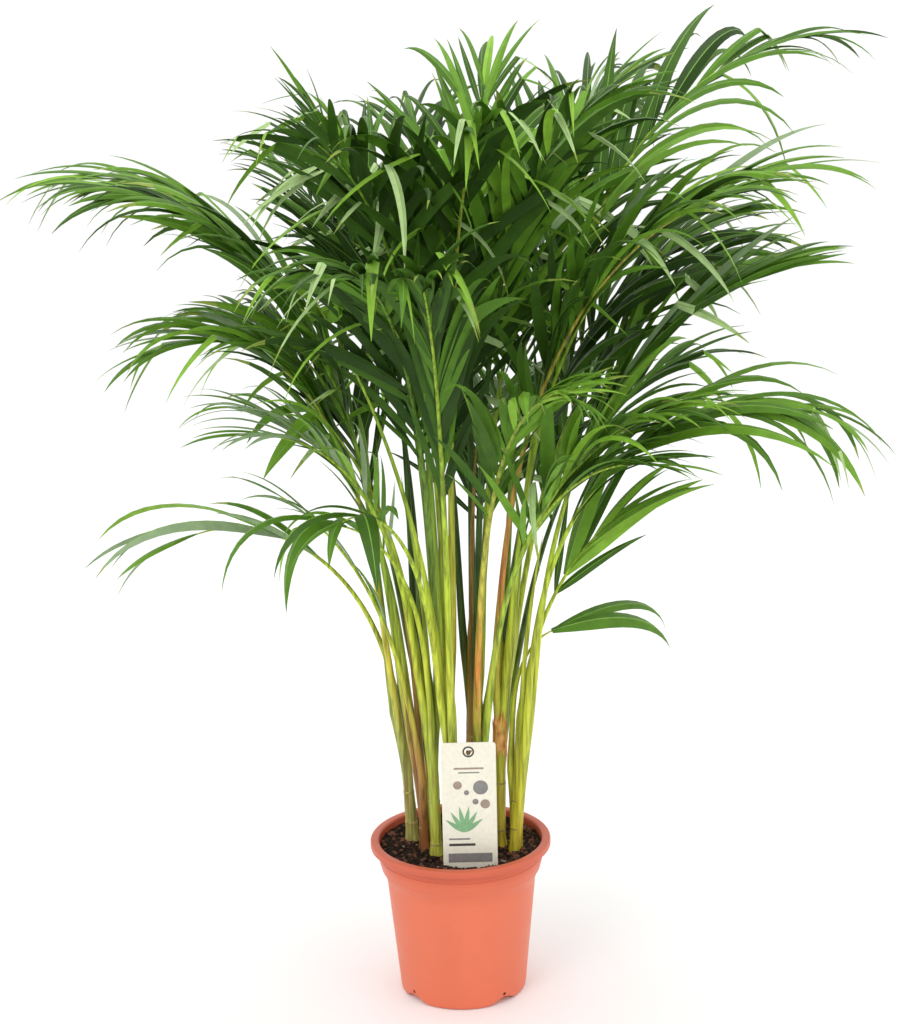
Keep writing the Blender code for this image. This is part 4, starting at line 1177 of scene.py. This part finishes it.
def make_leaflets(leaf, curve, greens):
    """All leaflets of one frond, joined, each in one of the frond's greens."""
    draw = random.Random(leaf.name + " leaflets")
    tones = TONES[leaf.tones]
    names = [name for name in LEAF_COLOURS if name in tones or name in KINK_UNDERSIDE_AND_HIGHLIGHT_TONES]
    weights = [tones.get(name, 0) for name in names]
    underside_and_highlight_weights = [KINK_UNDERSIDE_AND_HIGHLIGHT_TONES.get(name, 0) for name in names]
    materials = [greens[name] for name in names] + [greens["rib"], greens["tip"]]
    ageing = random.Random(leaf.name + " tips")
    sides = len(SECTION)
    points = []
    uvs = []
    faces = []
    which = []
    count = 0
    calm = min(1, leaf.loose)
    for along, side in itertools.product(np.linspace(FIRST_PAIR, LAST_PAIR, leaf.pairs), (-1, 1)):
        place = float(np.clip(along + draw.uniform(-0.012, 0.012), 0.004, 0.996))
        kink = draw.randint(5, 10) if draw.random() < leaf.kinks else None
        shift = draw.uniform(-ANGLE_SCATTER, ANGLE_SCATTER) * leaf.loose
        lift = draw.uniform(-RISE_SCATTER, RISE_SCATTER) * leaf.loose
        droop = 1 + draw.uniform(-DROOP_SCATTER, DROOP_SCATTER) * calm
        line = leaflet_line(leaf, curve, place, side, shift, lift, droop,
                            draw.uniform(*LENGTH_SCATTER), kink)
        width = line[3] * LEAFLET_WIDTH * leaf.broad * draw.uniform(0.75, 1.35)
        fold = LEAFLET_FOLD * draw.uniform(0.5, 1.6)
        twist = math.radians(draw.uniform(-TWIST_SCATTER, TWIST_SCATTER) * calm)
        rings, ring_uvs = leaflet_mesh(line, width, fold, twist)
        tone = draw.choices(range(len(names)), weights)[0]
        # Painted shade: nearer the frond's foot, a leaflet steps down to the next darker green.
        if draw.random() < PAINTED_SHADE_SHARE - along:
            tone = max(0, tone - 1)
        underside_and_highlight = draw.choices(range(len(names)), underside_and_highlight_weights)[0]
        points.append(rings)
        uvs.append(ring_uvs)
        faces += ring_faces(LEAFLET_STEPS + 1, sides, first=count)
        # Past the kink both skins take a paler green: partly the underside, partly a painted
        # highlight.
        for station in range(LEAFLET_STEPS):
            skin = underside_and_highlight if kink and station >= kink else tone
            which += [len(names) if step in RIB_SIDES else skin for step in range(sides)]
        which += [tone, skin]
        if ageing.random() < YELLOWED_SHARE and leaf.broad < BROAD_LEAFLET:
            aged = sides * ageing.randint(1, 2)
            which[-aged - 2:] = [len(names) + 1] * (aged + 2)
        count += len(rings)
    place_piece(leaf.name + "_leaflets", np.concatenate(points), faces, materials,
                [leaf.name], which, np.concatenate(uvs), sharp=55)


def make_plant():
    scar = crumb_material("cane_scar", (0.34, 0.27, 0.09))
    barks = {tone: stem_material("cane_" + tone, list(zip(CANE_HEIGHTS, colours)))
             for tone, colours in CANE_COLOURS.items()}
    stems = {}
    for leaf in FRONDS:
        tones = (CANES[leaf.cane - 1].tone, leaf.stalk)
        if tones not in stems:
            colours = CANE_COLOURS[tones[0]] + STALK_COLOURS[tones[1]]
            stems[tones] = stem_material("stalk_%s_%s" % tones, list(zip(STEM_HEIGHTS, colours)))
    greens = {name: leaf_material(name, colour) for name, colour in LEAF_COLOURS.items()}
    greens["rib"] = leaf_material("leaf_rib", (0.20, 0.38, 0.06))
    greens["tip"] = leaf_material("leaf_tip", YELLOWED_COLOUR)
    for cane in CANES:
        make_cane(cane, barks[cane.tone], scar)
    settled = settle_stalks()
    for leaf in FRONDS:
        side, turn = settled[leaf.name]
        curve = stalk_line(leaf, side, turn, STALK_STEPS * STALK_FINE)
        make_stalk(leaf, curve, side, stems[CANES[leaf.cane - 1].tone, leaf.stalk])
        make_leaflets(leaf, curve, greens)
    paper = husk_material()
    for number, husk in enumerate(HUSKS, 1):
        make_husk(number, *husk, paper)


# Stage, lights and camera

def make_stage():
    bpy.ops.mesh.primitive_plane_add(size=60, location=(0, 0, -0.0005))
    floor = bpy.context.object
    floor.name = "floor"
    floor.data.materials.append(plain_material("floor_paint", (0.94, 0.94, 0.94), 0.9))


def area_light(name, place, target, size, power):
    data = bpy.data.lights.new(name, "AREA")
    data.size = size
    data.energy = power
    lamp = bpy.data.objects.new(name, data)
    bpy.context.scene.collection.objects.link(lamp)
    lamp.location = place
    way = Vector(target) - Vector(place)
    lamp.rotation_euler = way.to_track_quat("-Z", "Y").to_euler()


def make_lights():
    world = bpy.data.worlds.new("studio")
    world.use_nodes = True
    world.node_tree.nodes["Background"].inputs["Color"].default_value = (1, 1, 1, 1)
    world.node_tree.nodes["Background"].inputs["Strength"].default_value = 1.08
    bpy.context.scene.world = world
    area_light("key", (-1.6, -2.4, 2.6), (0, 0, 0.6), 1.6, 24)
    area_light("fill", (2.4, -1.8, 1.6), (0, 0, 0.5), 1.8, 8)
    area_light("top", (0.2, 0.6, 2.9), (0, 0, 0.7), 1.6, 16)


def make_camera():
    down, roll, pan = (math.radians(a) for a in (CAMERA_DOWN, CAMERA_ROLL, CAMERA_PAN))
    forward = Vector((math.sin(pan) * math.cos(down), math.cos(pan) * math.cos(down),
                      -math.sin(down)))
    right = forward.cross(Vector((0, 0, 1))).normalized()
    above = right.cross(forward)
    rolled_right = right * math.cos(roll) + above * math.sin(roll)
    rolled_above = above * math.cos(roll) - right * math.sin(roll)
    data = bpy.data.cameras.new("camera")
    data.lens = CAMERA_LENS
    data.sensor_width = 36
    camera = bpy.data.objects.new("camera", data)
    bpy.context.scene.collection.objects.link(camera)
    turn = Matrix((rolled_right, rolled_above, -forward)).transposed()
    camera.matrix_world = Matrix.Translation(CAMERA_PLACE) @ turn.to_4x4()
    bpy.context.scene.camera = camera


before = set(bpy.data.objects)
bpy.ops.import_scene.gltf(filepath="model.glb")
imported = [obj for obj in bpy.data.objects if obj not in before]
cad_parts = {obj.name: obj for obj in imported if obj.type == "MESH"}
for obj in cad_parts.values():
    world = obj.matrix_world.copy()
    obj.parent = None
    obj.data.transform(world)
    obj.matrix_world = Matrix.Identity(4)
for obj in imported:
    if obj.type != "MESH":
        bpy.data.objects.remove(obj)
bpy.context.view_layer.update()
bpy.context.scene.view_settings.view_transform = "Standard"
make_pot()
make_soil()
make_tag()
make_plant()
make_stage()
make_lights()
make_camera()
